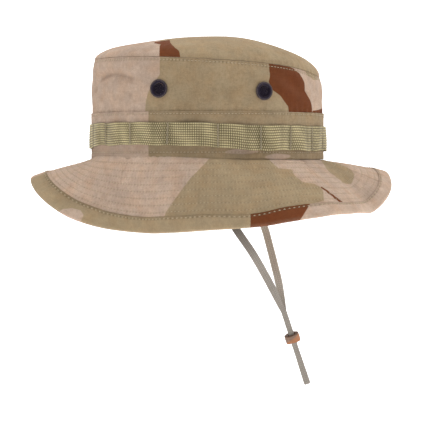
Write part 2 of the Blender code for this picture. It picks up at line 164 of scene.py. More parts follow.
# Softboxes: name, place, target, size in metres and power in watts
LIGHTS = (
    ("top", (0.0, -0.4, 2.2), HAT_MIDDLE, 1.3, 44.0),
    ("front_end", (-1.8, -0.6, 1.3), HAT_MIDDLE, 1.3, 12.3),
    ("back_end", (2.0, -0.3, 1.2), HAT_MIDDLE, 1.3, 11.5),
    ("back_low", (2.1, 0.2, 0.2), HAT_MIDDLE, 1.3, 11.5),
    ("low", (0.9, -2.0, -0.15), (0.0, 0.0, -0.1), 0.7, 2.0),
)
WHITE = (1, 1, 1, 1)
WORLD_STRENGTH = 0.04
FLOOR_HEIGHT = -0.25
FLOOR_NEAR = -40.0
FLOOR_HALF_WIDTH = 40.0
WALL_PLACE = 2.6
WALL_TOP = 3.0
WALL_BEND = 0.8
BEND_STEPS = 12
BACKDROP_LOOK = {
    "Base Color": (0.93, 0.93, 0.93, 1),
    "Roughness": 1.0,
    "Specular IOR Level": 0.0,
    "Emission Color": WHITE,
    "Emission Strength": 0.75,
}


def add_to_scene(name, data):
    thing = bpy.data.objects.new(name, data)
    bpy.context.scene.collection.objects.link(thing)
    return thing


def look_at(thing, target):
    way = Vector(target) - thing.location
    thing.rotation_euler = way.to_track_quat("-Z", "Y").to_euler()


def add_camera():
    """A long lens on the hat's left side, a little above level."""
    data = bpy.data.cameras.new("camera")
    data.sensor_width = SENSOR_MM
    data.lens = LENS_MM
    camera = add_to_scene("camera", data)
    away = Vector((0.0, -math.cos(VIEW_RISE), math.sin(VIEW_RISE)))
    camera.location = VIEW_TARGET + away * VIEW_DISTANCE
    look_at(camera, VIEW_TARGET)
    bpy.context.scene.camera = camera


def add_lights():
    """A softbox over the hat and one at each end, with weak light from low down."""
    for name, place, target, size, power in LIGHTS:
        data = bpy.data.lights.new(name, "AREA")
        data.shape = "SQUARE"
        data.size = size
        data.energy = power
        light = add_to_scene(name, data)
        light.location = place
        look_at(light, target)
    world = bpy.data.worlds.new("studio")
    world.use_nodes = True
    background = world.node_tree.nodes["Background"]
    background.inputs["Color"].default_value = WHITE
    background.inputs["Strength"].default_value = WORLD_STRENGTH
    bpy.context.scene.world = world
    bpy.context.scene.view_settings.view_transform = "Standard"


def add_backdrop():
    """A pale floor that curves up into a wall behind the hat."""
    start, middle = WALL_PLACE - WALL_BEND, FLOOR_HEIGHT + WALL_BEND
    outline = [(FLOOR_NEAR, FLOOR_HEIGHT), (start, FLOOR_HEIGHT)]
    for number in range(1, BEND_STEPS):
        turn = math.radians(90 * number / BEND_STEPS)
        outline.append((start + WALL_BEND * math.sin(turn), middle - WALL_BEND * math.cos(turn)))
    outline += [(WALL_PLACE, middle), (WALL_PLACE, WALL_TOP)]
    ends = (-FLOOR_HALF_WIDTH, FLOOR_HALF_WIDTH)
    points = np.array([[(x, y, z) for y, z in outline] for x in ends])
    skin = bpy.data.materials.new("backdrop")
    skin.use_nodes = True
    shader = skin.node_tree.nodes["Principled BSDF"]
    for key, value in BACKDROP_LOOK.items():
        shader.inputs[key].default_value = value
    add_grid("backdrop", points, skin)


# ---- Meshes -------------------------------------------------------------------------------


def add_mesh(name, points, face_sets, skin, uv=None, values=None):
    """Makes an object from points and arrays of faces; uv and values hold one row for each point."""
    points = np.asarray(points, float).reshape(-1, 3)
    loops = np.concatenate([np.asarray(faces).ravel() for faces in face_sets])
    sizes = np.concatenate([np.full(len(faces), np.shape(faces)[1]) for faces in face_sets])
    starts = np.concatenate([[0], np.cumsum(sizes)[:-1]])
    mesh = bpy.data.meshes.new(name)
    mesh.vertices.add(len(points))
    mesh.vertices.foreach_set("co", points.ravel())
    mesh.loops.add(len(loops))
    mesh.loops.foreach_set("vertex_index", loops.astype(np.int32))
    mesh.polygons.add(len(starts))
    mesh.polygons.foreach_set("loop_start", starts.astype(np.int32))
    mesh.update(calc_edges=True)
    if uv is not None:
        layer = mesh.uv_layers.new(name="cloth")
        layer.data.foreach_set("uv", np.asarray(uv, np.float32).reshape(-1, 2)[loops].ravel())
    for key, value in (values or {}).items():
        attribute = mesh.attributes.new(key, "FLOAT", "POINT")
        full = np.broadcast_to(np.ravel(value), len(points)).astype(np.float32)
        attribute.data.foreach_set("value", full)
    mesh.shade_smooth()
    mesh.materials.append(skin)
    return add_to_scene(name, mesh)


def grid_faces(rows, columns, wrap_rows=False, wrap_columns=False):
    """Quads over a grid of points; a wrapped direction closes on itself."""
    i = np.arange(rows if wrap_rows else rows - 1)[:, None]
    j = np.arange(columns if wrap_columns else columns - 1)[None, :]
    next_i, next_j = (i + 1) % rows, (j + 1) % columns
    corners = (i * columns + j, next_i * columns + j, next_i * columns + next_j, i * columns + next_j)
    return np.stack(np.broadcast_arrays(*corners), axis=-1).reshape(-1, 4)


def cap_faces(rows, columns):
    """Quads that close both ends of a run of flat closed sections."""
    j = np.arange(columns // 2 - 1)
    first = np.stack([j, j + 1, columns - 2 - j, columns - 1 - j], axis=-1)
    last = (first + (rows - 1) * columns)[:, ::-1]
    return np.concatenate([first, last])


def tube_faces(rows, columns):
    """A tube's sides, with one face over each end."""
    sides = grid_faces(rows, columns, wrap_columns=True)
    first = np.arange(columns)[None, :]
    last = (first + (rows - 1) * columns)[:, ::-1]
    return [sides[:, ::-1], np.concatenate([first[:, ::-1], last[:, ::-1]])]


def outward(points, faces):
    """The same faces, turned so that a closed body's faces look out."""
    a, b, c, d = (points.reshape(-1, 3)[faces[:, k]] for k in range(4))
    volume = (a * np.cross(b, c)).sum() + (a * np.cross(c, d)).sum()
    return faces[:, ::-1] if volume < 0 else faces


RING = (True, True)  # a body that closes on itself both ways
TUBE = (False, True, True)  # a run of closed sections, capped at both ends


def add_grid(name, points, skin, wrap_rows=False, wrap_columns=False, caps=False, **extra):
    rows, columns = points.shape[:2]
    faces = grid_faces(rows, columns, wrap_rows, wrap_columns)
    if caps:
        faces = np.concatenate([faces, cap_faces(rows, columns)])
    return add_mesh(name, points, [outward(points, faces)], skin, **extra)


def register(thing, slot, *nodes, body="hat"):
    """Hangs a piece on its body and hides the frame nodes that it stands for; the slot is not used."""
    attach(thing, body)
    if nodes:
        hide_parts(*nodes)


def edit_mesh(thing, change):
    """Runs a change on the object's mesh, opened as a bmesh."""
    bm = bmesh.new()
    bm.from_mesh(thing.data)
    change(bm)
    bm.to_mesh(thing.data)
    bm.free()


def unit(vectors):
    return vectors / np.linalg.norm(vectors, axis=-1, keepdims=True)


def shell(outer, inner):
    """Closed sections from two matching sheets: up the outer one and back down the inner one."""
    return np.concatenate([outer, inner[:, ::-1]], axis=1)


def run_lengths(points, axis):
    """Distance travelled along one direction of a grid, from its first point."""
    steps = np.linalg.norm(np.diff(points, axis=axis), axis=-1)
    travelled = np.cumsum(steps, axis=axis)
    start = np.zeros_like(np.take(travelled, [0], axis=axis))
    return np.concatenate([start, travelled], axis=axis)


def stations(count, extra=0):
    """A column of stations spaced evenly round the hat, and extra ones past the full turn."""
    return np.arange(count + extra)[:, None] * 360.0 / count


# ---- Curves -------------------------------------------------------------------------------


def bell(distance, width):
    return np.exp(-((distance / width) ** 2))


def smooth_step(value, low, high):
    t = np.clip((value - low) / (high - low), 0, 1)
    return t * t * (3 - 2 * t)


def spline(a, b, c, d, f):
    """A smooth curve from b to c as f goes from 0 to 1, with a before b and d after c."""
    return b + 0.5 * f * (c - a + f * (2 * a - 5 * b + 4 * c - d + f * (3 * (b - c) + d - a)))


def table_value(deg, table):
    """The value at each station of a table with a row every 15 degrees, smoothly joined."""
    place = (np.asarray(deg) % 360) / TABLE_STEP
    i = np.floor(place).astype(int)
    table = np.array(table, float)
    return spline(*(table[(i + k) % len(table)] for k in (-1, 0, 1, 2)), place - i)


def smooth_outline(outline, per_span=4):
    """More points on a smooth closed curve through an outline."""
    points = np.array(outline, float)
    near = [np.roll(points, k, axis=0) for k in (1, 0, -1, -2)]
    spans = [spline(*near, k / per_span) for k in range(per_span)]
    return np.stack(spans, axis=1).reshape(-1, points.shape[1])


def superellipse(half_width, half_depth, turn, power):
    c, s = np.cos(turn), np.sin(turn)
    x = half_width * np.sign(c) * np.abs(c) ** (2 / power)
    y = half_depth * np.sign(s) * np.abs(s) ** (2 / power)
    return x, y


def line_distance(a, b, line):
    """Distance from points (a, b) to a line through a few points, in their units."""
    nearest = np.full(np.broadcast(a, b).shape, np.inf)
    for (a0, b0), (a1, b1) in zip(line, line[1:]):
        da, db = a1 - a0, b1 - b0
        share = np.clip(((a - a0) * da + (b - b0) * db) / (da * da + db * db), 0, 1)
        nearest = np.minimum(nearest, np.hypot(a - a0 - share * da, b - b0 - share * db))
    return nearest


# ---- Crown and brim surfaces --------------------------------------------------------------


def head_points(deg, out, height):
    """Points at stations, set out from the head ellipse along its normal."""
    t = np.radians(deg)
    nx, ny = np.cos(t) / HALF_LENGTH, np.sin(t) / HALF_WIDTH
    size = np.hypot(nx, ny)
    x = HALF_LENGTH * np.cos(t) + nx / size * out
    y = HALF_WIDTH * np.sin(t) + ny / size * out
    return np.stack(np.broadcast_arrays(x, y, height), axis=-1)


def seam_height(deg):
    c = np.cos(np.radians(deg))
    return sum(part * c**power for power, part in enumerate(TIP_SEAM))


def crown_share(deg, height):
    return (height - CROWN_FOOT) / (seam_height(deg) - CROWN_FOOT)


def crown_points(deg, height, inset=0.0):
    """Points on the crown's side, from under the base band to the tip seam, inset into the cloth."""
    share = crown_share(deg, height)
    lean = CROWN_LEAN * np.clip(share, 0, 1) * np.sin(np.radians(deg)) ** 2
    out = np.interp(share, PROFILE_SHARE, PROFILE_OUT) - lean - inset
    points = head_points(deg, out + crown_ease(deg, height), height)
    points[..., 0] += CROWN_SHIFT * np.clip(3 * share, 0, 1)
    return points


def tip_points(deg, share):
    """Points on the domed tip: share is 1 at the seam and 0 at the pole."""
    edge = crown_points(deg, seam_height(deg))
    points = edge * share[..., None]
    points[..., 0] += CROWN_SHIFT * (1 - share)
    rise = np.maximum(0.0, 1.0 - share * share) ** DOME_POWER
    low = edge[..., 2] + GAP
    points[..., 2] = low + (DOME_TOP - low) * rise
    return points


def brim_width(deg):
    forward = np.maximum(0.0, -np.cos(np.radians(deg)))
    return BRIM_WIDTH - BRIM_FRONT_LOSS * forward**2


def brim_points(deg, reach):
    """Points on the brim's top: deg is a column of stations, and reach has a row for each."""
    u = np.linspace(0, BRIM_RUN, BRIM_STEPS)[None, :]
    end_share = np.cos(np.radians(deg)) ** 2
    held = np.minimum(u, 1.0)
    curl = FLANK_CURL * (1 - end_share) * (2 * held - 1) + END_CURL * end_share * (3 * held**2 - 1)
    slope = np.radians(table_value(deg, DROOP_DEG)) + curl
    step = brim_width(deg) * BRIM_RUN / (BRIM_STEPS - 1)
    middle = (slope[:, 1:] + slope[:, :-1]) / 2
    zero = np.zeros((len(slope), 1))
    place = np.clip(reach / brim_width(deg), 0, BRIM_RUN)
    moves = []
    for part in (np.cos(middle), np.sin(middle)):
        path = np.concatenate([zero, np.cumsum(part * step, axis=1)], axis=1)
        moves.append(np.array([np.interp(p, u[0], r) for p, r in zip(place, path)]))
    out, fall = moves
    return head_points(deg, out + np.minimum(reach, 0), -fall)


# ---- Slack, folds and puckers in the cloth ------------------------------------------------
# Broad slack of the crown: waves round the hat, waves up it, phase, and depth in mm
SLACK = (
    (2, 0.8, 0.4, 0.40),
    (5, 1.3, 2.1, 0.60),
    (9, 0.6, 4.0, 0.62),
    (14, 2.2, 1.2, 0.44),
    (23, 1.1, 5.3, 0.26),
)
# Folds on the crown: a line through (station, height in mm), its half width and depth in mm
CROWN_FOLDS = (
    (((185, 52), (191, 62), (199, 71), (209, 75), (219, 75), (230, 70)), 4.2, 3.7),
    (((214, 42), (211, 50), (205, 57), (196, 60)), 3.4, 1.2),
    (((229, 42), (227, 54), (231, 62)), 3.0, 1.1),
    (((262, 40), (266, 54), (263, 66)), 4.0, 1.3),
    (((283, 44), (279, 56), (281, 74)), 3.4, 1.1),
    (((297, 46), (299, 56), (296, 66)), 3.0, 1.0),
    (((336, 46), (333, 58), (337, 70)), 3.4, 0.7),
    (((20, 50), (26, 62), (24, 74)), 3.2, 0.6),
    (((62, 46), (66, 58), (60, 70)), 3.6, 0.5),
    (((118, 48), (112, 60), (116, 74)), 3.0, 0.6),
    (((150, 52), (158, 64), (152, 78)), 3.2, 0.6),
)
PUCKER_PITCH = 7.0 * MM
PUCKER_REACH = 5.0 * MM
PUCKER_DEPTH = 0.26 * MM
TICK_PITCH = 3.1 * MM
TICK_DEPTH = 0.17 * MM
TICK_REACH = 2.2 * MM
VENT_HOLLOW = 0.25 * MM
MM_PER_DEGREE = 1.63  # round the crown
BRIM_MM_PER_DEGREE = 2.0


def fold_in(ease, folds, deg, level, mm_per_degree, unit_size):
    """Presses folds into the cloth; unit_size is one millimetre in the unit that ease has."""
    for line, half_width, depth in folds:
        scaled = [(a * mm_per_degree, b) for a, b in line]
        away = line_distance(deg % 360 * mm_per_degree, level / MM, scaled)
        ease = ease - depth * unit_size * bell(away, half_width)
    return ease


def vent_distance(deg, height):
    """Distance from the nearest vent's middle, measured on the flank."""
    x = HALF_LENGTH * np.cos(np.radians(deg))
    return np.minimum.reduce([np.hypot(x - vx, height - vz) for vx, vz in VENT_PLACES])


def crown_slack(deg, height):
    """Broad waves of the crown's cloth in metres, calmer at its seams and under the band."""
    t = np.radians(deg)
    share = np.clip(crown_share(deg, height), -0.3, 1)
    slack = sum(
        depth * np.sin(waves * t + up * math.tau * share + phase)
        for waves, up, phase, depth in SLACK
    )
    free = 0.25 + 0.75 * smooth_step(height, BAND_TOP - 2 * MM, BAND_TOP + 12 * MM)
    free *= 1 - 0.6 * smooth_step(share, 0.8, 1.0)
    free *= 1 - 0.7 * smooth_step(np.abs(np.cos(t)), 0.90, 1.0)
    return slack * MM * free


def seam_puckers(deg, height):
    """Puckers along the tip seam and the band's top, in metres."""
    t = np.radians(deg)
    arc = t * MM_PER_DEGREE * MM * 180 / math.pi
    wave = np.sin(math.tau * arc / PUCKER_PITCH + 1.7 * np.sin(5 * t) + 1.1 * np.sin(11 * t + 1))
    down = np.maximum(seam_height(deg) - height, 0)
    up = np.maximum(height - BAND_TOP, 0)
    near = np.exp(-down / PUCKER_REACH) + np.exp(-up / PUCKER_REACH)
    ticks = np.sin(math.tau * arc / TICK_PITCH) * np.exp(-down / TICK_REACH)
    return (PUCKER_DEPTH * wave * near + TICK_DEPTH * ticks) * (height > BAND_TOP - 4 * MM)


def crown_ease(deg, height):
    """How far the crown's cloth stands off its plain shape, in metres."""
    deg, height = np.broadcast_arrays(np.asarray(deg, float), np.asarray(height, float))
    ease = fold_in(crown_slack(deg, height), CROWN_FOLDS, deg, height, MM_PER_DEGREE, MM)
    ease = ease + seam_puckers(deg, height)
    flat = smooth_step(vent_distance(deg, height), FLANGE_RADIUS, 2.2 * FLANGE_RADIUS)
    return ease * flat - VENT_HOLLOW * (1 - flat)


def tick_marks(deg):
    """1 at each needle hole round the crown, and 0 halfway between."""
    return 0.5 + 0.5 * np.cos(math.tau * deg * MM_PER_DEGREE * MM / TICK_PITCH)


# ---- Camouflage ---------------------------------------------------------------------------


def rounded(*corners):
    """A patch's outline as a smooth curve through its corners."""
    return tuple(map(tuple, smooth_outline(corners, 5)))


# Patches by panel, as outlines. Crown, band, brim and binding: (station, mm up or out).
# Tip: (mm along, mm across). Later khaki and brown patches lie over earlier ones, and a pink
# patch opens a hole in the khaki.
PATCHES = {
    "crown": (
        ("khaki", ((246, 96), (247, 73), (241, 59), (239, 50), (238, 20), (322, 20), (322, 50),
                   (312, 66), (311, 82), (307, 96))),
        ("khaki", ((328, 92), (328, 80), (329, 74), (336, 70), (346, 71), (341, 78), (338, 92))),
        ("khaki", rounded((112, 96), (120, 68), (130, 58), (150, 60), (158, 72), (166, 96))),
        ("khaki", rounded((58, 20), (64, 46), (76, 58), (94, 60), (108, 48), (106, 20))),
        ("khaki", rounded((378, 96), (384, 72), (400, 62), (418, 70), (430, 96))),
        ("brown", ((302, 96), (302, 73), (301, 67), (303, 60), (308, 55), (313, 46), (314, 20),
                   (336, 20), (333, 44), (330, 52), (325, 60), (325, 68), (322, 75), (318, 79),
                   (313, 82), (309, 96))),
        ("brown", ((332, 36), (334, 43), (341, 44), (352, 46), (362, 50), (372, 58), (384, 58),
                   (392, 50), (398, 20), (340, 20))),
        ("brown", rounded((128, 20), (134, 48), (142, 64), (150, 72), (160, 68), (158, 54), (170, 44),
                   (172, 20))),
        ("brown", rounded((74, 96), (80, 80), (92, 73), (104, 80), (106, 96))),
    ),
    "tip": (
        ("khaki", ((-41, -99), (-41, -32), (-39, -21), (-34, -10), (-26, 1), (-15, 9), (-2, 14),
                   (14, 15.5), (32, 13), (52, 6), (70, -1), (110, -20), (110, -99))),
        ("khaki", rounded((-99, 34), (-72, 20), (-52, 32), (-48, 60), (-60, 99), (-110, 99))),
        ("brown", ((-41, -99), (-41, -60), (-40, -56), (-46, -48), (-46, -40), (-33, -38),
                   (-32, -52), (-30, -62), (-27.5, -69), (-24, -74.5), (-23, -77), (-24, -99))),
        ("brown", rounded((10, 99), (16, 62), (38, 44), (62, 50), (72, 70), (62, 99))),
    ),
    "band": (
        ("khaki", ((241, -9), (241, 55), (372, 55), (377, 20), (368, -9))),
        ("khaki", ((66, -9), (74, 20), (70, 55), (128, 55), (134, 20), (126, -9))),
        ("brown", ((126, -9), (134, 20), (128, 55), (150, 55), (158, 30), (154, -9))),
        ("pink", rounded((278, 6), (283, 9), (291, 9), (295, 7), (289, 5))),
        ("pink", rounded((298, 2), (303, 5), (309, 5), (314, 3), (306, 0))),
    ),
    "brim": (
        ("khaki", ((272, -9), (271, 0), (262.5, 19.5), (253, 47), (248, 75), (309, 75),
                   (309, 53.5), (316, 51.5), (316.5, 49), (319, 38), (316.5, 32.5), (311, 29),
                   (309, 20), (310, 13.5), (303, 11.5), (300.5, 0), (300, -9))),
        ("khaki", ((342, -9), (342.5, 2.5), (336, 15.5), (339, 23.5), (340.5, 30.5), (347, 34),
                   (356, 30), (362, 24), (368, 12), (366, -9))),
        ("khaki", rounded((380, 75), (386, 44), (400, 30), (420, 34), (430, 52), (426, 75))),
        ("khaki", rounded((96, 75), (100, 42), (112, 22), (128, 16), (140, -9), (160, -9), (156, 24),
                   (146, 44), (140, 75))),
        ("brown", ((318.2, 36.5), (319.6, 36.2), (325.4, 54), (324.8, 57), (323.4, 54.5))),
        ("brown", rounded((62, -9), (66, 10), (80, 20), (92, 14), (94, -9))),
        ("brown", rounded((140, 75), (146, 44), (156, 26), (166, 30), (170, 48), (168, 75))),
    ),
    "under": (
        ("khaki", rounded((200, 75), (210, 40), (230, 20), (250, -9), (280, -9), (276, 30), (262, 52),
                   (256, 75))),
        ("khaki", rounded((330, 75), (336, 40), (356, 24), (376, 30), (384, 75))),
        ("khaki", rounded((60, -9), (70, 24), (100, 34), (112, 10), (110, -9))),
        ("khaki", rounded((150, -9), (154, 30), (172, 44), (190, 30), (186, -9))),
        ("brown", rounded((280, -9), (276, 30), (290, 44), (306, 36), (310, -9))),
        ("brown", rounded((112, 75), (118, 44), (136, 34), (150, 50), (148, 75))),
        ("brown", rounded((20, -9), (28, 16), (44, 20), (56, 10), (54, -9))),
    ),
    "binding": (
        ("khaki", ((181, 40), (181, 99), (287, 99), (287, 40))),
        ("khaki", ((36, 40), (30, 99), (86, 99), (92, 40))),
        ("pink", ((202.5, 62), (204, 55), (206.5, 51), (210, 50), (212, 53.5), (211.5, 60),
                  (209, 72), (204, 72))),
        ("brown", ((287, 40), (286.5, 54), (286, 66), (286, 99), (298, 99), (304, 66),
                   (309, 54), (313, 40))),
        ("brown", ((118, 40), (124, 99), (146, 99), (141, 40))),
    ),
}  # fmt: skip
FAR_MM = 30.0


def inside_distance(a, b, outline):
    """Distance from points to a closed outline, positive inside it."""
    closed = [*outline, outline[0]]
    inside = np.zeros(a.shape, bool)
    for (a0, b0), (a1, b1) in zip(closed, closed[1:]):
        crosses = (b0 > b) != (b1 > b)
        where = a0 + (b - b0) * (a1 - a0) / (b1 - b0 if b1 != b0 else 1e-9)
        inside ^= crosses & (a < where)
    away = line_distance(a, b, closed)
    return np.where(inside, away, -away)


def patch_values(panel, a, b):
    """Signed distances in mm to the khaki and brown areas, for points of a panel."""
    turns = (0,) if panel == "tip" else (0, 360)
    scale = 1.0 if panel == "tip" else MM_PER_DEGREE
    a, b = np.broadcast_arrays(np.asarray(a, float), np.asarray(b, float))
    found = {"khaki": np.full(a.shape, -FAR_MM), "brown": np.full(a.shape, -FAR_MM)}
    for colour, outline in PATCHES[panel]:
        scaled = [(x * scale, y) for x, y in outline]
        for turn in turns:
            inside = inside_distance((a + turn) * scale, b, scaled)
            if colour == "pink":
                found["khaki"] = np.minimum(found["khaki"], -inside)
            else:
                found[colour] = np.maximum(found[colour], inside)
    return {f"{key}_mm": np.clip(value, -FAR_MM, FAR_MM) for key, value in found.items()}


# ---- Materials ----------------------------------------------------------------------------


def rgba(colour, times=1.0):
    return (*(min(1.0, part * times) for part in colour), 1.0)


class Skin:
    """A material in the making: its shader, and short ways to add nodes to it."""

    def __init__(self, name, roughness, sheen=0.0, specular=0.3):
        self.material = bpy.data.materials.new(name)
        self.material.use_nodes = True
        self.tree = self.material.node_tree
        self.shader = self.tree.nodes["Principled BSDF"]
        self.shader.inputs["Roughness"].default_value = roughness
        self.shader.inputs["Specular IOR Level"].default_value = specular
        self.shader.inputs["Sheen Weight"].default_value = sheen
        self.place = self.node("TexCoord").outputs["Object"]

    def node(self, kind, inputs=None, **settings):
        """Adds a node; inputs maps a socket's name or number to a value or to another socket."""
        made = self.tree.nodes.new("ShaderNode" + kind)
        for key, value in settings.items():
            setattr(made, key, value)
        for key, value in (inputs or {}).items():
            if isinstance(value, bpy.types.NodeSocket):
                self.tree.links.new(value, made.inputs[key])
            else:
                made.inputs[key].default_value = value
        return made

    def maths(self, operation, a, b=0.0, c=0.0, clamp=False):
        made = self.node("Math", {0: a, 1: b, 2: c}, operation=operation, use_clamp=clamp)
        return made.outputs[0]

    def times(self, a, b):
        return self.maths("MULTIPLY", a, b)

    def fit(self, value, slope, start, clamp=False):
        """The value times a slope, plus a start."""
        return self.maths("MULTIPLY_ADD", value, slope, start, clamp)

    def mix(self, factor, a, b, blend="MIX"):
        made = self.node("Mix", {0: factor, 6: a, 7: b}, data_type="RGBA", blend_type=blend)
        return made.outputs[2]

    def tinted(self, colour, tint):
        return self.mix(1.0, colour, tint, "MULTIPLY")

    def shaded(self, colour, grey):
        """The colour times one factor."""
        return self.tinted(colour, self.node("CombineColor", {0: grey, 1: grey, 2: grey}).outputs[0])

    def attribute(self, name):
        return self.node("Attribute", attribute_name=name).outputs["Fac"]

    def noise(self, size, detail=2.0, roughness=0.5, place=None):
        """Noise from 0 to 1 whose largest spots are about size metres across."""
        vector = self.place if place is None else place
        inputs = {"Vector": vector, "Scale": 1 / size, "Detail": detail, "Roughness": roughness}
        return self.node("TexNoise", inputs).outputs[0]

    def varied(self, colour, *shares):
        """The colour made lighter and darker by noise: shares are (size in metres, depth)."""
        factor = None
        for size, depth in shares:
            part = self.fit(self.noise(size), 2 * depth, 1.0 - depth)
            factor = part if factor is None else self.times(factor, part)
        return self.shaded(colour, factor)

    def sine(self, value, pitch):
        return self.maths("SINE", self.times(value, math.tau / pitch))

    def weave(self, uv, pitch, slant=0.0):
        """A woven relief from 0 to 1: plain weave, or twill where slant is 1."""
        apart = self.node("SeparateXYZ", {0: uv})
        across, along = apart.outputs[0], apart.outputs[1]
        plain = self.times(self.sine(across, pitch), self.sine(along, pitch))
        lean = self.sine(self.maths("ADD", across, along), pitch * 1.6)
        both = self.maths("ADD", self.times(plain, 0.35), self.times(lean, slant))
        return self.fit(both, 0.35, 0.5)

    def slubs(self, uv):
        """Uneven yarns, both ways of the cloth, from 0 to 1."""
        lines = []
        for stretch in ((1.0, 7.0, 1.0), (7.0, 1.0, 1.0)):
            stretched = self.node("VectorMath", {0: uv, 1: stretch}, operation="MULTIPLY")
            lines.append(self.noise(0.0085, 3.0, 0.65, stretched.outputs[0]))
        return self.times(self.maths("ADD", *lines), 0.5)

    def cloth_coordinates(self):
        return self.node("UVMap", uv_map="cloth").outputs[0]

    def patch(self, name, ragged):
        """1 inside a printed patch and 0 outside, with a slightly ragged edge."""
        return self.fit(self.maths("ADD", self.attribute(name), ragged), 2.6, 0.5, clamp=True)

    def finish(self, colour, rough, relief, distance, strength):
        """Links the colour, the roughness and a bump to the shader; returns the material."""
        bump = self.node("Bump", {"Height": relief, "Distance": distance, "Strength": strength})
        links = {"Base Color": colour, "Roughness": rough, "Normal": bump.outputs[0]}
        for key, value in links.items():
            self.tree.links.new(value, self.shader.inputs[key])
        return self.material


def printed_cloth(name):
    """Cotton twill printed in three colours, paler on its back, worn on its edges and darkened by
    painted shade.
    """
    skin = Skin(name, 0.88, sheen=0.03, specular=0.12)
    ragged = skin.fit(skin.noise(0.0009), 0.7, -0.35)
    colour = skin.mix(skin.patch("khaki_mm", ragged), rgba(PINK_TAN), rgba(KHAKI))
    colour = skin.mix(skin.patch("brown_mm", ragged), colour, rgba(BROWN))
    colour = skin.varied(colour, (0.05, 0.15), (0.011, 0.19), (0.0028, 0.16), (0.0009, 0.19))
    warm = skin.fit(skin.noise(0.012, 3.0), 3.2, -1.3, clamp=True)
    colour = skin.mix(warm, colour, skin.tinted(colour, WARM_TINT))
    uv = skin.cloth_coordinates()
    weave = skin.weave(uv, 0.00055, 1.0)
    # Paler threads where the cloth is faded; a lower value also paints the brim's back end darker, as
    # shade
    bleached = skin.fit(skin.attribute("faded"), 0.24, 0.60)
    threads = skin.fit(weave, 0.16, bleached)
    colour = skin.shaded(colour, skin.maths("ADD", threads, skin.times(skin.slubs(uv), 0.40)))
    colour = skin.mix(skin.times(skin.attribute("reverse"), 0.62), colour, rgba(CLOTH_BACK))
    worn = skin.times(skin.attribute("worn"), skin.noise(0.003, 4.0))
    colour = skin.mix(skin.times(worn, 0.55), colour, rgba(WORN_CLOTH))
    # Painted shade in seams, needle holes and shadows, and the band's darker tint
    colour = skin.mix(skin.times(skin.attribute("groove"), 0.55), colour, rgba(CLOTH_SHADE))
    slub = skin.fit(skin.noise(0.0012, 3.0), 0.9, weave)
    return skin.finish(colour, skin.fit(skin.noise(0.004), 0.14, 0.80), slub, 0.00012, 0.8)


def plain_cloth(name, colour, pitch, slant=0.0):
    """A single-colour woven tape or lining."""
    skin = Skin(name, 0.9, sheen=0.1, specular=0.2)
    weave = skin.weave(skin.cloth_coordinates(), pitch, slant)
    shade = skin.varied(rgba(colour), (0.03, 0.05), (0.004, 0.07), (0.0008, 0.14))
    shade = skin.shaded(shade, skin.fit(weave, 0.24, 0.86))
    return skin.finish(shade, skin.fit(skin.noise(0.003), 0.16, 0.8), weave, 0.00015, 0.8)


def webbing_cloth(name):
    """Coarse nylon tape: pale thread tops over gaps painted dark as shade, from the mesh's own relief.
    """
    skin = Skin(name, 0.62, sheen=0.08, specular=0.35)
    tops = skin.maths("POWER", skin.attribute("relief"), 1.15, clamp=True)
    colour = skin.mix(tops, rgba(WEBBING_GAP_SHADE), rgba(WEBBING_PALE))
    colour = skin.varied(colour, (0.03, 0.07), (0.005, 0.08), (0.0011, 0.20))
    rough = skin.fit(skin.noise(0.002), 0.22, 0.52)
    return skin.finish(colour, rough, skin.noise(0.0003, 3.0), 0.00008, 0.7)


def thread_material(name, colour):
    """Sewing thread: fine twist lines and small changes of shade from stitch to stitch."""
    skin = Skin(name, 0.55, sheen=0.1, specular=0.35)
    shade = skin.varied(rgba(colour), (0.02, 0.07), (0.002, 0.12), (0.0004, 0.16))
    rough = skin.fit(skin.noise(0.001), 0.2, 0.45)
    return skin.finish(shade, rough, skin.noise(0.00022), 0.00006, 0.7)


def enamel_material(name):
    """Black enamel on brass, rubbed thin on its high edge; the paler bronze there is partly a painted
    highlight.
    """
    skin = Skin(name, 0.5, specular=0.16)
    rubbed_and_highlight = skin.times(skin.attribute("worn"), skin.noise(0.0012, 5.0, 0.7))
    rubbed_and_highlight = skin.fit(rubbed_and_highlight, 3.2, -0.95, clamp=True)
    dark = skin.varied(rgba(ENAMEL), (0.004, 0.3), (0.0007, 0.3))
    colour = skin.mix(skin.times(rubbed_and_highlight, 0.75), dark, rgba(BRONZE))
    rough = skin.fit(skin.noise(0.0015, 3.0), 0.3, 0.34)
    return skin.finish(colour, rough, skin.noise(0.0008, 4.0), 0.00004, 0.5)


def braid_material(name):
    """Matt braided nylon: painted shade between the strands and under the brim, darker where the cords
    gather, with fine fibres.
    """
    skin = Skin(name, 0.7, sheen=0.1, specular=0.3)
    # Painted shade between the strands: the braid is darker where its relief is low
    colour = skin.mix(skin.attribute("relief"), rgba(BRAID, 0.55), rgba(BRAID, 1.08))
    colour = skin.varied(colour, (0.02, 0.06), (0.003, 0.08), (0.0006, 0.16))
    # Painted shade under the brim on the near cord, and darker where the cords gather
    colour = skin.mix(skin.attribute("cord_shade"), colour, skin.tinted(colour, CORD_SHADE_TINT))
    rough = skin.fit(skin.noise(0.002), 0.2, 0.6)
    return skin.finish(colour, rough, skin.noise(0.00025, 3.0), 0.00007, 0.7)


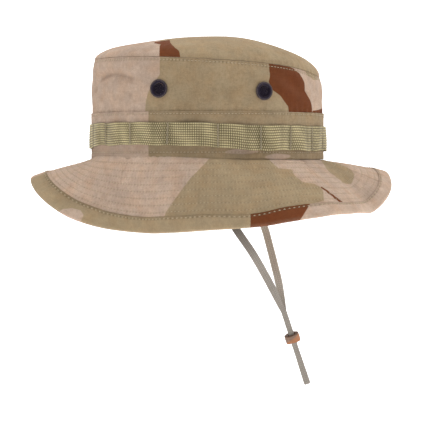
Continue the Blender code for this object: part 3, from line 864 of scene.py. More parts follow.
def leather_material(name):
    """Rough-cut leather: pores, creases, and edges burnished darker."""
    skin = Skin(name, 0.55, specular=0.35)
    inputs = {"Vector": skin.place, "Scale": 1100.0}
    pores = skin.node("TexVoronoi", inputs, feature="DISTANCE_TO_EDGE").outputs[0]
    blotch = skin.noise(0.003, 5.0, 0.65)
    colour = skin.mix(blotch, rgba(LEATHER, 0.72), rgba(LEATHER, 1.25))
    colour = skin.varied(colour, (0.0009, 0.14))
    edge = skin.times(skin.attribute("worn"), skin.noise(0.0014, 4.0))
    colour = skin.mix(skin.fit(edge, 1.8, -0.25, clamp=True), colour, rgba(BURNISHED))
    rough_side = skin.mix(blotch, rgba(SUEDE, 0.7), rgba(SUEDE, 1.3))
    colour = skin.mix(skin.attribute("reverse"), colour, rough_side)
    relief = skin.fit(blotch, 0.8, skin.maths("MULTIPLY", pores, 5.0, clamp=True))
    return skin.finish(colour, skin.fit(blotch, 0.35, 0.4), relief, 0.00009, 0.8)


def make_materials():
    return {
        "print": printed_cloth("printed_twill"),
        "tape": plain_cloth("seam_tape", TAPE, 0.0009, 0.6),
        "lining": plain_cloth("sweatband_cloth", LINING, 0.0006, 1.0),
        "label": plain_cloth("label_cloth", LABEL, 0.0004),
        "webbing": webbing_cloth("nylon_webbing"),
        "thread": thread_material("sewing_thread", THREAD),
        "tack": thread_material("tack_thread", TACK_THREAD),
        "enamel": enamel_material("black_enamel"),
        "braid": braid_material("braided_nylon"),
        "leather": leather_material("rough_leather"),
    }


# ---- Stitches -----------------------------------------------------------------------------
STITCH_SIDES = 6
# Sections along a stitch: share of its length, and its size and lift as shares of the radius
STITCH_PROFILE = (
    (0.0, 0.35, -0.9), (0.14, 0.85, 0.1), (0.5, 1.0, 0.75), (0.86, 0.85, 0.1), (1.0, 0.35, -0.9),
)  # fmt: skip
STITCH_FILL = 0.72
ROUND = np.linspace(0, 360, 721)[:-1]  # stations of a line of stitches round the hat


def sampled(line, measure, places):
    """Points of a line where a growing measure along it reaches the given places."""
    return np.stack([np.interp(places, measure, line[:, k]) for k in range(3)], axis=-1)


def stitch_shapes(starts, ends, normals, radius):
    """Closed little lozenges from starts to ends that bulge along the normals and dive at both ends."""
    way = unit(ends - starts)
    side = unit(np.cross(way, normals))
    up = np.cross(side, way)
    rings = []
    for share, size, lift in STITCH_PROFILE:
        middle = starts + (ends - starts) * share + up * (radius * lift)
        for k in range(STITCH_SIDES):
            turn = math.tau * k / STITCH_SIDES
            rings.append(middle + (side * math.cos(turn) + up * math.sin(turn)) * (radius * size))
    return np.stack(rings, axis=1)


def stitch_faces(count):
    rings = len(STITCH_PROFILE)
    per = rings * STITCH_SIDES
    tube = grid_faces(rings, STITCH_SIDES, wrap_columns=True)
    first = np.arange(STITCH_SIDES)[None, :]
    last = (first + per - STITCH_SIDES)[:, ::-1]
    ends = np.concatenate([first, last])
    offset = (np.arange(count) * per)[:, None, None]
    return [(tube[None] + offset).reshape(-1, 4), (ends[None] + offset).reshape(-1, STITCH_SIDES)]


def add_stitches(name, shapes, skin, *nodes):
    """One piece of many stitches, from groups of their shapes."""
    points = np.concatenate(shapes)
    register(add_mesh(name, points, stitch_faces(len(points)), skin), "thread", *nodes)


def running_stitches(line, normals, measure, begin, length, radius, look=0.5):
    """Stitches of one length along a line, from where its measure reaches each beginning.

    Each stitch takes its normal from the line at look, a share of the stitch's length.
    """
    starts, ends = sampled(line, measure, begin), sampled(line, measure, begin + length)
    return stitch_shapes(starts, ends, sampled(normals, measure, begin + look * length), radius)


def stitch_rows(name, rows, skin, pitch, radius):
    """One piece of running stitches along several lines, each given as (points, normals)."""
    shapes = []
    for line, normals in rows:
        travelled = run_lengths(line, 0)
        count = round(travelled[-1] / pitch)
        step = travelled[-1] / count
        begin = (np.arange(count) + 0.5 * (1 - STITCH_FILL)) * step
        shapes.append(running_stitches(line, normals, travelled, begin, STITCH_FILL * step, radius))
    add_stitches(name, shapes, skin)


def out_ways(deg):
    """Directions straight out of the head ellipse."""
    return head_points(deg, 1.0, 0.0) - head_points(deg, 0.0, 0.0)


def round_row(line, facing=1):
    """A closed row of stitches over the ROUND stations and its normals; facing is -1 for inwards."""
    return [np.concatenate([part, part[:1]]) for part in (line, facing * out_ways(ROUND))]


# ---- Crown --------------------------------------------------------------------------------
CROWN_STATIONS = 480
CROWN_ROWS = 56
CROWN_HIDDEN = 26.0 * MM  # the side's cloth starts here, between the base band and the sweatband
TIP_STITCH_DROP = 2.2 * MM
SEAM_WIDTH = 0.8 * MM
TIP_RINGS = 64
TIP_STATIONS = 420
TIP_RADIUS = 0.09


def cloth_uv(along, out):
    """Flat cloth coordinates in metres."""
    return np.stack(np.broadcast_arrays(along, out), axis=-1)


def round_uv(deg, points):
    """Flat coordinates of cloth that stands round the head: along it and up it."""
    return cloth_uv(deg * MM_PER_DEGREE * MM, points[..., 2])


def add_print(name, points, skins, wraps, uv, patches, **marks):
    """A panel of the printed cloth; wraps are add_grid's, and marks are the skin's attributes."""
    values = {**patches, "reverse": 0.0, "groove": 0.0, "worn": 0.0, **marks}
    return add_grid(name, points, skins["print"], *wraps, uv=uv, values=values)


def make_crown_side(name, start, node_name, skins):
    deg = np.linspace(start + 0.1, start + 179.9, CROWN_STATIONS)[:, None]
    top = seam_height(deg)
    share = np.linspace(0, 1, CROWN_ROWS)[None, :]
    heights = CROWN_HIDDEN + (top - CROWN_HIDDEN) * share**0.85
    sink = bell(top - heights - TIP_STITCH_DROP, 1.0 * MM)
    turn_in = bell(top - heights, SEAM_WIDTH)
    outer = crown_points(deg, heights, 0.30 * MM * sink + 0.5 * MM * turn_in)
    inner = crown_points(deg, heights, CROWN_CLOTH + 0.5 * MM * turn_in)
    points = shell(outer, inner)
    # Painted shade along the topstitch line, darkest at its needle holes, and in the seam's turn,
    # weaker towards the front
    shade = sink * (0.12 + 0.95 * tick_marks(deg) ** 2) + 0.35 * turn_in
    shade = shade * (1 - 0.7 * bell(deg - 180, 20))
    side = add_print(
        name, points, skins, TUBE, round_uv(deg, points),
        patch_values("crown", deg, points[..., 2] / MM),
        reverse=shell(0 * sink, 0 * sink + 1), groove=shell(shade, 0 * shade), faded=0.14,
    )  # fmt: skip
    edit_mesh(side, cut_vent_holes)
    register(side, "tan", node_name)


def cut_vent_holes(bm):
    """Opens the cloth behind each eyelet; the flange outside and the washer inside hide the cut."""
    cut = []
    for face in bm.faces:
        middle = face.calc_center_median()
        if any(math.hypot(middle.x - x, middle.z - z) < VENT_CUT for x, z in VENT_PLACES):
            cut.append(face)
    bmesh.ops.delete(bm, geom=cut, context="FACES")


def join_pole(bm):
    """Joins the points that lie together at the tip's pole."""
    bmesh.ops.remove_doubles(bm, verts=bm.verts, dist=1e-6)


def tip_normals(points):
    """Unit normals of the tip's grid, from differences along its rows and columns."""
    along = np.roll(points, -1, axis=0) - np.roll(points, 1, axis=0)
    normals = np.cross(np.gradient(points, axis=1), along)
    normals[:, 0] = (0, 0, 1)
    return unit(normals)


def tip_relief(deg, share, points):
    """Slack of the domed tip, in metres."""
    t = np.radians(deg)
    x, y = points[..., 0] / 0.1, points[..., 1] / 0.1
    broad = 0.5 * np.sin(5.1 * x + 2.3 * y + 0.6) + 0.35 * np.sin(-3.2 * x + 6.4 * y + 2.0)
    broad = broad + 0.3 * np.sin(9.5 * x - 4.1 * y + 4.4)
    hollow = 1.3 * bell(x + 0.52, 0.28)
    pucker = np.sin(40 * t + 1.5 * np.sin(5 * t)) * np.exp(-(1 - share) / 0.05)
    return ((0.75 * broad - hollow) * smooth_step(1 - share, 0.02, 0.3) + 0.18 * pucker) * MM


def make_tip(skins):
    deg = stations(TIP_STATIONS)
    share = np.sin(np.linspace(0, math.pi / 2, TIP_RINGS))[None, :] ** 0.8
    share = np.broadcast_to(share, (TIP_STATIONS, TIP_RINGS))
    plain = tip_points(np.broadcast_to(deg, share.shape), share)
    normals = tip_normals(plain)
    relief = tip_relief(deg, share, plain)
    turn_in = bell((1 - share) * TIP_RADIUS, SEAM_WIDTH)
    outer = plain + normals * (relief - 0.35 * MM * turn_in)[..., None]
    inner = plain - normals * (CROWN_CLOTH - relief + 0.35 * MM * turn_in)[..., None]
    inner[:, 0, :2] = outer[:, 0, :2]
    points = shell(outer, inner)
    # The seam's turn is painted a little darker, as shade
    tip = add_print(
        "tip", points, skins, (True,), points[..., :2],
        patch_values("tip", points[..., 0] / MM, points[..., 1] / MM),
        reverse=shell(0 * share, 0 * share + 1), groove=shell(0.2 * turn_in, 0 * turn_in),
        faded=0.34,
    )  # fmt: skip
    edit_mesh(tip, join_pole)
    register(tip, "khaki", "crown_tip")


def make_tip_stitches(skins):
    """The topstitch that runs round the crown just under the tip seam."""
    line = crown_points(ROUND, seam_height(ROUND) - TIP_STITCH_DROP, 0.25 * MM)
    stitch_rows("stitches_tip", [round_row(line)], skins["thread"], 3.1 * MM, 0.23 * MM)


# ---- Bands round the crown ----------------------------------------------------------------
BAND_STATIONS = 960
BAND_ROWS = 46
BAND_EDGE = BAND_TOP - 0.7 * MM
BAND_STITCHES = (BAND_EDGE - 1.9 * MM, BAND_BOTTOM + 6.0 * MM)
BAND_TINT = 0.27  # how much darker the band's khaki is than the crown's
# The band's folded edge as (mm out, mm over BAND_EDGE), and the heights of its back
BAND_FOLD = ((-0.15, -0.1), (-0.50, 0.0), (-0.85, -0.1))
BAND_BACK = (BAND_EDGE - 1 * MM, 0.02, BAND_BOTTOM)


def band_points(deg, out, height):
    """Points on the bands, which follow the crown's own slack."""
    return head_points(deg, out + crown_ease(deg, height), height)


def band_ripple(deg, heights):
    """Puckers along the band's two edges, in metres."""
    t = np.radians(deg)
    upper = 0.16 * MM * np.sin(88 * t + 2.2 * np.sin(6 * t)) * bell(heights - BAND_TOP, 6 * MM)
    return upper + 0.14 * MM * np.sin(96 * t + 2.0 * np.sin(7 * t)) * bell(heights, 7 * MM)


def band_shade(deg, heights, khaki, sink):
    """How dark the band is: its darker khaki tint, painted shadow at its foot under the webbing and
    under the webbing's left end, and painted shade in its needle holes.
    """
    shade = BAND_TINT * (0.15 + 0.85 * smooth_step(khaki, -1.5, 1.5))
    # Painted shadow of the webbing on the band's foot
    shade = shade + 0.26 * smooth_step(0.014 - heights, 0, 0.006)
    # Painted shadow under the webbing's left end
    shade = shade + 0.65 * bell(deg - 186, 9) * bell(heights - 9.5 * MM, 3.5 * MM)
    return np.clip(shade + sink * (0.15 + 0.45 * tick_marks(deg) ** 2), 0, 1)


def make_base_band(skins):
    deg = stations(BAND_STATIONS)
    heights = np.linspace(BAND_BOTTOM + 0.4 * MM, BAND_EDGE - 0.4 * MM, BAND_ROWS) + 0 * deg
    sink = sum(bell(heights - stitch, 0.8 * MM) for stitch in BAND_STITCHES)
    outer = band_points(deg, -0.30 * MM * sink + band_ripple(deg, heights), heights)
    fold = np.array(BAND_FOLD) * MM
    edge = band_points(deg, fold[:, 0] + 0 * deg, BAND_EDGE + fold[:, 1] + 0 * deg)
    inner = band_points(deg, -CLOTH, np.array(BAND_BACK) + 0 * deg)
    points = np.concatenate([outer, edge, inner], axis=1)
    level = points[..., 2]
    patches = patch_values("band", deg, level / MM)
    shade = band_shade(deg, heights, patches["khaki_mm"][:, :BAND_ROWS], sink)
    hidden = np.zeros((BAND_STATIONS, level.shape[1] - BAND_ROWS))
    band = add_print(
        "base_band_cloth", points, skins, RING, round_uv(deg, points), patches,
        groove=np.concatenate([shade, hidden], axis=1), worn=0.3 * bell(level - BAND_EDGE, 0.8 * MM),
        faded=0.22,
    )  # fmt: skip
    register(band, "khaki", "base_band")
    rows = [round_row(band_points(ROUND, -0.22 * MM, stitch)) for stitch in BAND_STITCHES]
    stitch_rows("stitches_band", rows, skins["thread"], 3.0 * MM, 0.22 * MM)


RIB_COUNT = 312  # ribs round the hat
RIB_ROWS = 10
RIB_HEIGHT = 0.55 * MM
WEBBING_THICK = 0.9 * MM
WEBBING_STATIONS = 5 * RIB_COUNT
TACK_MARGIN = 1.2 * MM
TACK_HALF_WIDTH = 0.85 * MM
TACK_STITCHES = 26
PLAIN_STATIONS = 360
SWEAT_OUT = -2.8 * MM
SWEAT_WAVE = 34 * MM
TAPE_SHARES = (0.84, 0.985)  # of the way up the crown's side
LABEL_OUT = -4.5 * MM
LABEL_HALF_DEG = 11
LABEL_HEIGHTS = (8 * MM, 24 * MM)
LABEL_CORNERS = ((-10, 9), (10, 9), (10, 23), (-10, 23), (-10, 9))  # (station, mm up)
# Each loop's bulge in mm, and how much further its upper edge stands out than its lower one
LOOP_BULGES = (
    (2.6, 0.3), (2.1, -0.2), (2.4, 0.35), (2.0, -0.2), (1.7, 0.3), (2.1, -0.3), (2.0, 0.2),
    (2.1, -0.2), (2.2, 0.3), (1.8, -0.3), (2.4, 0.2), (1.9, -0.2), (2.3, 0.3), (2.1, -0.3),
    (1.8, 0.2), (2.4, -0.2), (1.7, 0.3), (1.2, -0.3), (1.3, 0.2),
)  # fmt: skip


def loop_place(deg):
    """Each station's loop number and its share of the way along that loop."""
    starts = np.array(TACK_DEG)
    lifted = np.where(deg < starts[0], deg + 360, deg)
    number = np.searchsorted(starts, lifted, side="right") - 1
    ends = np.append(starts[1:], starts[0] + 360)
    share = (lifted - starts[number]) / (ends[number] - starts[number])
    return number, share


def webbing_edges(deg):
    """Heights of the webbing's edges: it rides up towards the front and sags in each loop."""
    forward = -np.cos(np.radians(deg))
    front = smooth_step(forward, -0.5, 0.35)
    end = smooth_step(forward, 0.93, 1.0)
    number, share = loop_place(deg)
    sag = 0.5 * MM * np.sin(math.tau * share) * np.where(number % 2, 1, -1)
    low = WEBBING_BOTTOM + (4.6 * front - 1.7 - 2.6 * end) * MM + sag
    high = WEBBING_TOP + (2.5 * front - 1.2 - 0.4 * end) * MM + 0.5 * sag
    return low, high


def webbing_out(deg, share_up):
    """How far the webbing's back stands off the base band."""
    number, share = loop_place(deg)
    bulge = np.array([size for size, _ in LOOP_BULGES])[number]
    tilt = np.array([lean for _, lean in LOOP_BULGES])[number]
    shape = np.sin(math.pi * smooth_step(share, 0.03, 0.97)) ** 0.7
    dip = 0.45 * bell(share - 0.36, 0.09) * (number % 3 == 1) + 0.4 * bell(share - 0.66, 0.08)
    level = 2 * share_up - 1
    curl = -0.5 * level**2
    return GAP + (bulge * shape * (1 + tilt * level + curl * 0.5) - dip * shape) * MM


def webbing_relief(deg, across, arc):
    """The webbing's ribs from 0 to 1: tops stand between gaps along it and across it."""
    t = np.radians(deg)
    stagger = smooth_step(np.abs(np.cos(t)), 0.12, 0.45) * (np.floor(RIB_ROWS * across) % 2)
    along = 0.5 + 0.5 * np.cos(math.tau * RIB_COUNT * arc / arc[-1] + math.pi * stagger)
    up = 0.5 - 0.5 * np.cos(math.tau * RIB_ROWS * across)
    uneven = 0.17 * np.sin(9 * t) + 0.22 * np.sin(23 * t + 4 * across)
    gap = 0.72 + 0.3 * np.cos(t) ** 5 - 0.1 * np.cos(t) ** 2 + uneven
    return up**0.6 * (1 - np.clip(gap, 0.2, 0.95) * (1 - along))


def make_webbing(skins):
    deg = stations(WEBBING_STATIONS)
    across = np.linspace(0.01, 0.99, 5 * RIB_ROWS + 1)[None, :]
    low, high = webbing_edges(deg)
    heights = low + (high - low) * across
    arc = run_lengths(head_points(deg[:, 0], 0, 0), 0)[:, None]
    relief = webbing_relief(deg, across, arc)
    stand = webbing_out(deg, across) + WEBBING_THICK + RIB_HEIGHT * (relief - 1)
    ends = np.array([0.99, 0.01])[None, :]
    back = band_points(deg, webbing_out(deg, ends), low + (high - low) * ends)
    points = np.concatenate([band_points(deg, stand, heights), back], axis=1)
    _, share = loop_place(deg)
    # Painted shade in the webbing's dips beside the tacks and partway along each loop
    valley = bell(share, 0.10) + bell(share - 1, 0.10) + 0.6 * bell(share - 0.66, 0.07)
    tone = np.clip(relief * (1 - 0.36 * valley), 0, 1)
    values = {"relief": np.concatenate([tone, np.zeros((WEBBING_STATIONS, 2))], axis=1)}
    uv = cloth_uv(arc, points[..., 2])
    webbing = add_grid("webbing_loops", points, skins["webbing"], *RING, uv=uv, values=values)
    register(webbing, "webbing", "foliage_webbing")
    for number, tack in enumerate(TACK_DEG, start=1):
        make_tack(number, tack, skins["tack"])


def make_tack(number, deg, skin):
    """A bar tack: close zigzag stitches across the webbing where it is sewn down."""
    low, high = webbing_edges(np.array([deg % 360.0 - 0.01]))
    low, high = float(low[0]) + TACK_MARGIN, float(high[0]) - TACK_MARGIN
    half = math.degrees(TACK_HALF_WIDTH / HALF_LENGTH)
    lean = 0.35 * math.sin(2.4 * number)
    heights = np.linspace(low, high, TACK_STITCHES)
    middle = deg + lean * (heights - low) / (high - low)
    zigzag = np.where(np.arange(TACK_STITCHES) % 2, 0.22 * MM, -0.22 * MM)
    out = GAP + WEBBING_THICK
    starts = band_points(middle - half, out, heights - zigzag)
    ends = band_points(middle + half, out, heights + zigzag)
    shapes = stitch_shapes(starts, ends, out_ways(middle), 0.28 * MM)
    add_stitches(f"tack_{number:02d}", [shapes], skin, f"bar_tack_{number:02d}")


def sweat_slack(deg, heights):
    """Soft waves of the sweatband, widest halfway up, in metres."""
    wave = 0.35 * MM * np.sin(9 * np.radians(deg) + 1.0)
    return np.abs(wave * np.sin(math.pi * (heights - SWEAT_BOTTOM) / SWEAT_WAVE))


def make_sweatband(skins):
    deg = stations(PLAIN_STATIONS)
    heights = np.linspace(SWEAT_BOTTOM, SWEAT_TOP, 26)[None, :] + 0 * deg
    soft = 0.5 * bell(heights - SWEAT_TOP, 0.5 * MM) + 0.5 * bell(heights - SWEAT_BOTTOM, 0.5 * MM)
    outer = band_points(deg, SWEAT_OUT - 0.3 * MM * soft, heights)
    back = SWEAT_OUT - CLOTH
    inner = band_points(deg, back - sweat_slack(deg, heights) + 0.3 * MM * soft, heights)
    points = shell(outer, inner)
    uv = round_uv(deg, points)
    band = add_grid("sweatband_cloth", points, skins["lining"], *RING, uv=uv)
    register(band, "khaki", "sweatband")
    levels = (SWEAT_TOP - 2 * MM, SWEAT_BOTTOM + 2.4 * MM)
    lines = [band_points(ROUND, back - sweat_slack(ROUND, level), level) for level in levels]
    rows = [round_row(line, -1) for line in lines]
    stitch_rows("stitches_sweatband", rows, skins["thread"], 3.2 * MM, 0.28 * MM)


def make_seam_tape(skins):
    """The tape that covers the tip seam inside the crown."""
    deg = stations(PLAIN_STATIONS)
    top = seam_height(deg)
    low, high = TAPE_SHARES
    share = np.linspace(low, high, 12)[None, :]
    heights = CROWN_FOOT + (top - CROWN_FOOT) * share
    near = CROWN_CLOTH + GAP + 0.9 * MM * bell(top - heights, SEAM_WIDTH)
    swell = 0.5 * MM * np.sin(math.pi * (share - low) / (high - low))
    outer = crown_points(deg, heights, near)
    inner = crown_points(deg, heights, near + 0.25 * MM + swell)
    points = shell(outer, inner)
    tape = add_grid("seam_tape", points, skins["tape"], *RING, uv=round_uv(deg, points))
    register(tape, "khaki", "crown_seam_tape")


def make_label(skins):
    """A blank woven label inside the back of the sweatband, with its edges stitched down."""
    deg = np.linspace(-LABEL_HALF_DEG, LABEL_HALF_DEG, 60)[:, None]
    low, high = LABEL_HEIGHTS
    middle, half = (low + high) / 2, (high - low) / 2
    heights = np.linspace(low, high, 30)[None, :] + 0 * deg
    across = np.abs(deg) / LABEL_HALF_DEG
    up = np.abs(heights - middle) / half
    lift = 0.25 * MM * (1 - across**6) * (1 - up**6)
    outer = band_points(deg, LABEL_OUT, heights)
    inner = band_points(deg, LABEL_OUT - 0.2 * MM - lift, heights)
    points = shell(outer, inner)
    uv = round_uv(deg, points)
    label = add_grid("blank_label", points, skins["label"], *TUBE, uv=uv)
    register(label, "label", "size_label")
    sides = []
    share = np.linspace(0, 1, 40)
    for (d0, z0), (d1, z1) in zip(LABEL_CORNERS, LABEL_CORNERS[1:]):
        turn, height = d0 + (d1 - d0) * share, (z0 + (z1 - z0) * share) * MM
        sides.append((band_points(turn, LABEL_OUT - 0.35 * MM, height), -out_ways(turn)))
    stitch_rows("stitches_label", sides, skins["thread"], 2.2 * MM, 0.22 * MM)


# ---- Vents --------------------------------------------------------------------------------
VENT_SIDES = 64
VENT_RAISE = 0.25 * MM
# Eyelet outline as (radius, height over the cloth) in mm, from the bore's back round the rim
EYELET_OUTLINE = (
    (4.9, -3.2), (5.6, -3.2), (5.65, -0.2), (6.2, 0.12), (7.4, 0.10), (7.85, 0.25), (7.9, 0.50),
    (7.75, 0.72), (7.3, 0.92), (6.6, 1.05), (5.9, 1.06), (5.4, 0.96), (5.05, 0.72), (4.92, 0.35),
)  # fmt: skip
# Washer outline as (radius, height over its front face) in mm
WASHER_OUTLINE = ((5.9, 0), (5.9, -0.45), (6.1, -0.6), (7.3, -0.6), (7.6, -0.4), (7.6, 0))
WASHER_FRONT = -(CROWN_CLOTH + 1.0 * MM) / MM  # mm over the cloth
SCREEN_PITCH = 0.62 * MM
SCREEN_HEIGHT = -0.2 * MM
WIRE_RADIUS = 0.27 * MM
WIRE_SIDES = 6
WIRE_STEPS = 34


def vent_frame(along, height, side):
    """The vent's frame on the crown's flank: its Z axis points out of the cloth."""
    deg = math.degrees(math.acos((along - CROWN_SHIFT) / HALF_LENGTH)) * side
    step = 0.5
    spots = crown_points(np.array([deg, deg + step, deg]), np.array([height, height, height + MM]))
    place, round_way, up_way = (Vector(spot) for spot in spots)
    normal = (round_way - place).cross(up_way - place).normalized()
    if normal.y * side < 0:
        normal = -normal
    place += normal * VENT_RAISE
    return Matrix.Translation(place) @ normal.to_track_quat("Z", "Y").to_matrix().to_4x4()


def placed(vent, local):
    matrix = np.array(vent)
    return local @ matrix[:3, :3].T + matrix[:3, 3]


def turned(vent, outline):
    """A closed outline of (radius, height) in mm, turned round the vent's Z axis."""
    turn = np.arange(VENT_SIDES)[:, None] * math.tau / VENT_SIDES
    radius, height = np.array(outline).T[:, None, :] * MM
    local = np.stack([radius * np.cos(turn), radius * np.sin(turn), height + 0 * turn], axis=-1)
    return placed(vent, local)


def screen_wire(number, across):
    """One wire of the screen, waving over and under the wires it crosses."""
    radius = BARREL_BORE - GAP
    offset = number * SCREEN_PITCH
    half = math.sqrt(max(radius**2 - offset**2, (0.6 * MM) ** 2))
    s = np.linspace(-half, half, WIRE_STEPS)
    sign = 1 if (number % 2 == 0) != across else -1
    lift = SCREEN_HEIGHT + 0.95 * WIRE_RADIUS * sign * np.cos(math.pi * s / SCREEN_PITCH)
    ring = []
    for k in range(WIRE_SIDES):
        turn = math.tau * k / WIRE_SIDES
        b, c = offset + WIRE_RADIUS * math.cos(turn) + 0 * s, lift + WIRE_RADIUS * math.sin(turn)
        ring.append(np.stack((b, s, c) if across else (s, b, c), axis=-1))
    return np.stack(ring, axis=1)


def make_screen(name, vent, skin):
    """A plain-woven wire screen, cut round, set a little back in the eyelet."""
    count = int((BARREL_BORE - GAP) / SCREEN_PITCH)
    numbers = range(-count, count + 1)
    wires = np.array([screen_wire(number, across) for across in (False, True) for number in numbers])
    sides = grid_faces(WIRE_STEPS, WIRE_SIDES, wrap_columns=True)
    starts = np.arange(len(wires))[:, None, None] * WIRE_STEPS * WIRE_SIDES
    faces = (sides + starts).reshape(-1, 4)
    return add_mesh(name, placed(vent, wires.reshape(-1, 3)), [faces], skin, values={"worn": 0.1})


def make_vents(skins):
    enamel = skins["enamel"]
    outline = smooth_outline(EYELET_OUTLINE)
    # Rubbed bronze on the rim's high edge, partly a painted highlight
    rim = smooth_step(outline[:, 0], 6.2, 6.8) * smooth_step(outline[:, 1], 0.2, 0.5)
    rubbed_and_highlight = {"worn": rim * np.ones((VENT_SIDES, 1))}
    washer_outline = [(radius, WASHER_FRONT + height) for radius, height in WASHER_OUTLINE]
    places = [(along, height, side) for side in (-1, 1) for along, height in VENT_PLACES]
    for number, place in enumerate(places, start=1):
        vent = vent_frame(*place)
        points = turned(vent, outline)
        eyelet = add_grid(f"eyelet_{number}", points, enamel, *RING, values=rubbed_and_highlight)
        register(eyelet, "enamel", f"vent_eyelet_{number}")
        screen = make_screen(f"screen_{number}", vent, enamel)
        register(screen, "screen", f"vent_screen_{number}")
        points = turned(vent, washer_outline)
        washer = add_grid(f"washer_{number}", points, enamel, *RING, values={"worn": 0.5})
        register(washer, "enamel", f"vent_washer_{number}")


# ---- Brim ---------------------------------------------------------------------------------
QUILT_COUNT = 236  # stitches in every row, so they line up from row to row
BRIM_STATIONS = 5 * QUILT_COUNT
QUILT_SHARES = tuple(0.09 + 0.12 * number for number in range(8))
QUILT_DEPTH = 0.34 * MM
QUILT_HALF_WIDTH = 0.75 * MM
QUILT_FILL = 0.46
RIB_OF_PUCKERS = 0.15 * MM
# Visible width of the binding in mm, every 15 degrees from station 0
BINDING_TABLE = (
    12.0, 12.2, 12.0, 12.5, 12.0, 12.5, 12.5, 12.0, 12.5, 12.5, 13.0, 14.0,
    15.0, 16.0, 15.6, 13.8, 13.0, 13.2, 12.6, 10.4, 12.2, 11.6, 10.0, 11.6,
)  # fmt: skip
# Soft creases of the brim: line of (station, mm out), half width and depth in mm
BRIM_CREASES = (
    (((229, 0), (227, 14), (225, 30)), 3.0, 0.9),
    (((322, 2), (320, 16), (323, 28)), 3.0, 0.7),
    (((62, 4), (60, 22), (63, 40)), 3.0, 0.7),
    (((124, 2), (126, 18), (122, 32)), 3.0, 0.7),
)
# Broad waves of the brim: waves round the hat, phase, and depth in mm at the rim
BRIM_WAVES = ((7, 0.4, 0.5), (13, 2.1, 0.45), (21, 4.3, 0.35), (34, 1.1, 0.16))
ROOT_REACH = 4.5 * MM


def binding_width(deg):
    """The binding's visible width, on a smooth closed curve through BINDING_TABLE."""
    return table_value(deg, BINDING_TABLE) * MM


def quilted_width(deg):
    return brim_width(deg) - binding_width(deg)


def root_rise(deg):
    """How far the brim turns up where it meets the base band, most towards the front."""
    forward = -np.cos(np.radians(deg))
    rise = 0.2 + 3.4 * smooth_step(forward, -0.4, 0.7)
    return rise * (1 - 0.7 * smooth_step(forward, 0.93, 1.0)) * MM


def brim_ease(deg, reach):
    """How far the brim's cloth stands off its plain shape, in metres."""
    t = np.radians(deg)
    share = np.clip(reach / BRIM_WIDTH, 0, 1)
    ease = sum(depth * np.sin(waves * t + phase) for waves, phase, depth in BRIM_WAVES) * share
    return fold_in(ease, BRIM_CREASES, deg, reach, BRIM_MM_PER_DEGREE, 1) * MM


def brim_normals(deg, reach):
    held = np.maximum(reach, 0)
    out_way = brim_points(deg, held + 0.4 * MM) - brim_points(deg, held)
    round_way = brim_points(deg + 0.4, reach) - brim_points(deg - 0.4, reach)
    return unit(np.cross(out_way, round_way))


def brim_place(deg, reach, height):
    """Points at a height over the brim's top, and the normals there."""
    reach = np.broadcast_to(reach, np.broadcast(deg, reach).shape)
    normals = brim_normals(deg, reach)
    points = brim_points(deg, reach) + normals * (height + brim_ease(deg, reach))[..., None]
    points[..., 2] += root_rise(deg) * np.exp(-np.maximum(reach, 0) / ROOT_REACH)
    return points, normals


def brim_reach(deg, share):
    """Reach for shares of the quilted width: 0 at the crown, 1 at the binding, 2 at the rim."""
    inner = np.minimum(share, 1) * quilted_width(deg)
    return inner + np.maximum(share - 1, 0) * binding_width(deg)


def quilt_shares():
    """Shares at which the brim's cloth is sampled, closest together across each quilting row."""
    offsets = (-1.5, -0.8, -0.35, 0, 0.35, 0.8, 1.5)
    near = [row + offset / 52 for row in QUILT_SHARES for offset in offsets]
    between = [row + 0.06 for row in QUILT_SHARES]
    return np.array(sorted([-0.045, 0.0, 0.012, 0.025, *near, *between, 1.3, 1.65, 1.97]))


def make_brim(skins):
    deg = stations(BRIM_STATIONS, extra=1)
    shares = quilt_shares()
    reach = brim_reach(deg, shares)
    reach[:, 0] = -BRIM_TUCK
    plain, _ = brim_place(deg, reach, 0 * reach)
    arc = run_lengths(plain, 0)
    middle = arc[:, [arc.shape[1] // 2]]
    beat = np.cos(math.tau * QUILT_COUNT * middle / middle[-1])  # 1 at each needle hole
    rows = np.array(QUILT_SHARES) * quilted_width(deg)
    near = sum(bell(reach - rows[:, [k]], QUILT_HALF_WIDTH) for k in range(rows.shape[1]))
    # Painted shade in the quilting's needle holes
    holes = near**2 * np.maximum(beat, 0) ** 1.5
    sink = near * (0.5 + 0.5 * beat) * QUILT_DEPTH
    ribs = RIB_OF_PUCKERS * beat * smooth_step(reach, 0, 0.006) * (1 - 0.5 * near)
    quilted = smooth_step(quilted_width(deg) - reach, -1 * MM, 2 * MM)
    sheets = {}
    for label, side, level in (("top", 1, 0), ("under", -1, -BRIM_THICK)):
        height = level - side * (sink + ribs * quilted - 0.1 * MM)
        points, normals = brim_place(deg, reach, height)
        sheets[label] = (points, normals * side)
    for label, first in (("left", BRIM_STATIONS // 2), ("right", 0)):
        pick = np.arange(first, first + BRIM_STATIONS // 2 + 1)
        cloth = [sheets[sheet][0][pick] for sheet in ("top", "under")]
        make_brim_half(label, cloth, deg[pick], reach[pick], holes[pick], arc[pick], skins)
    make_quilting(sheets, shares, middle[:, 0], skins)


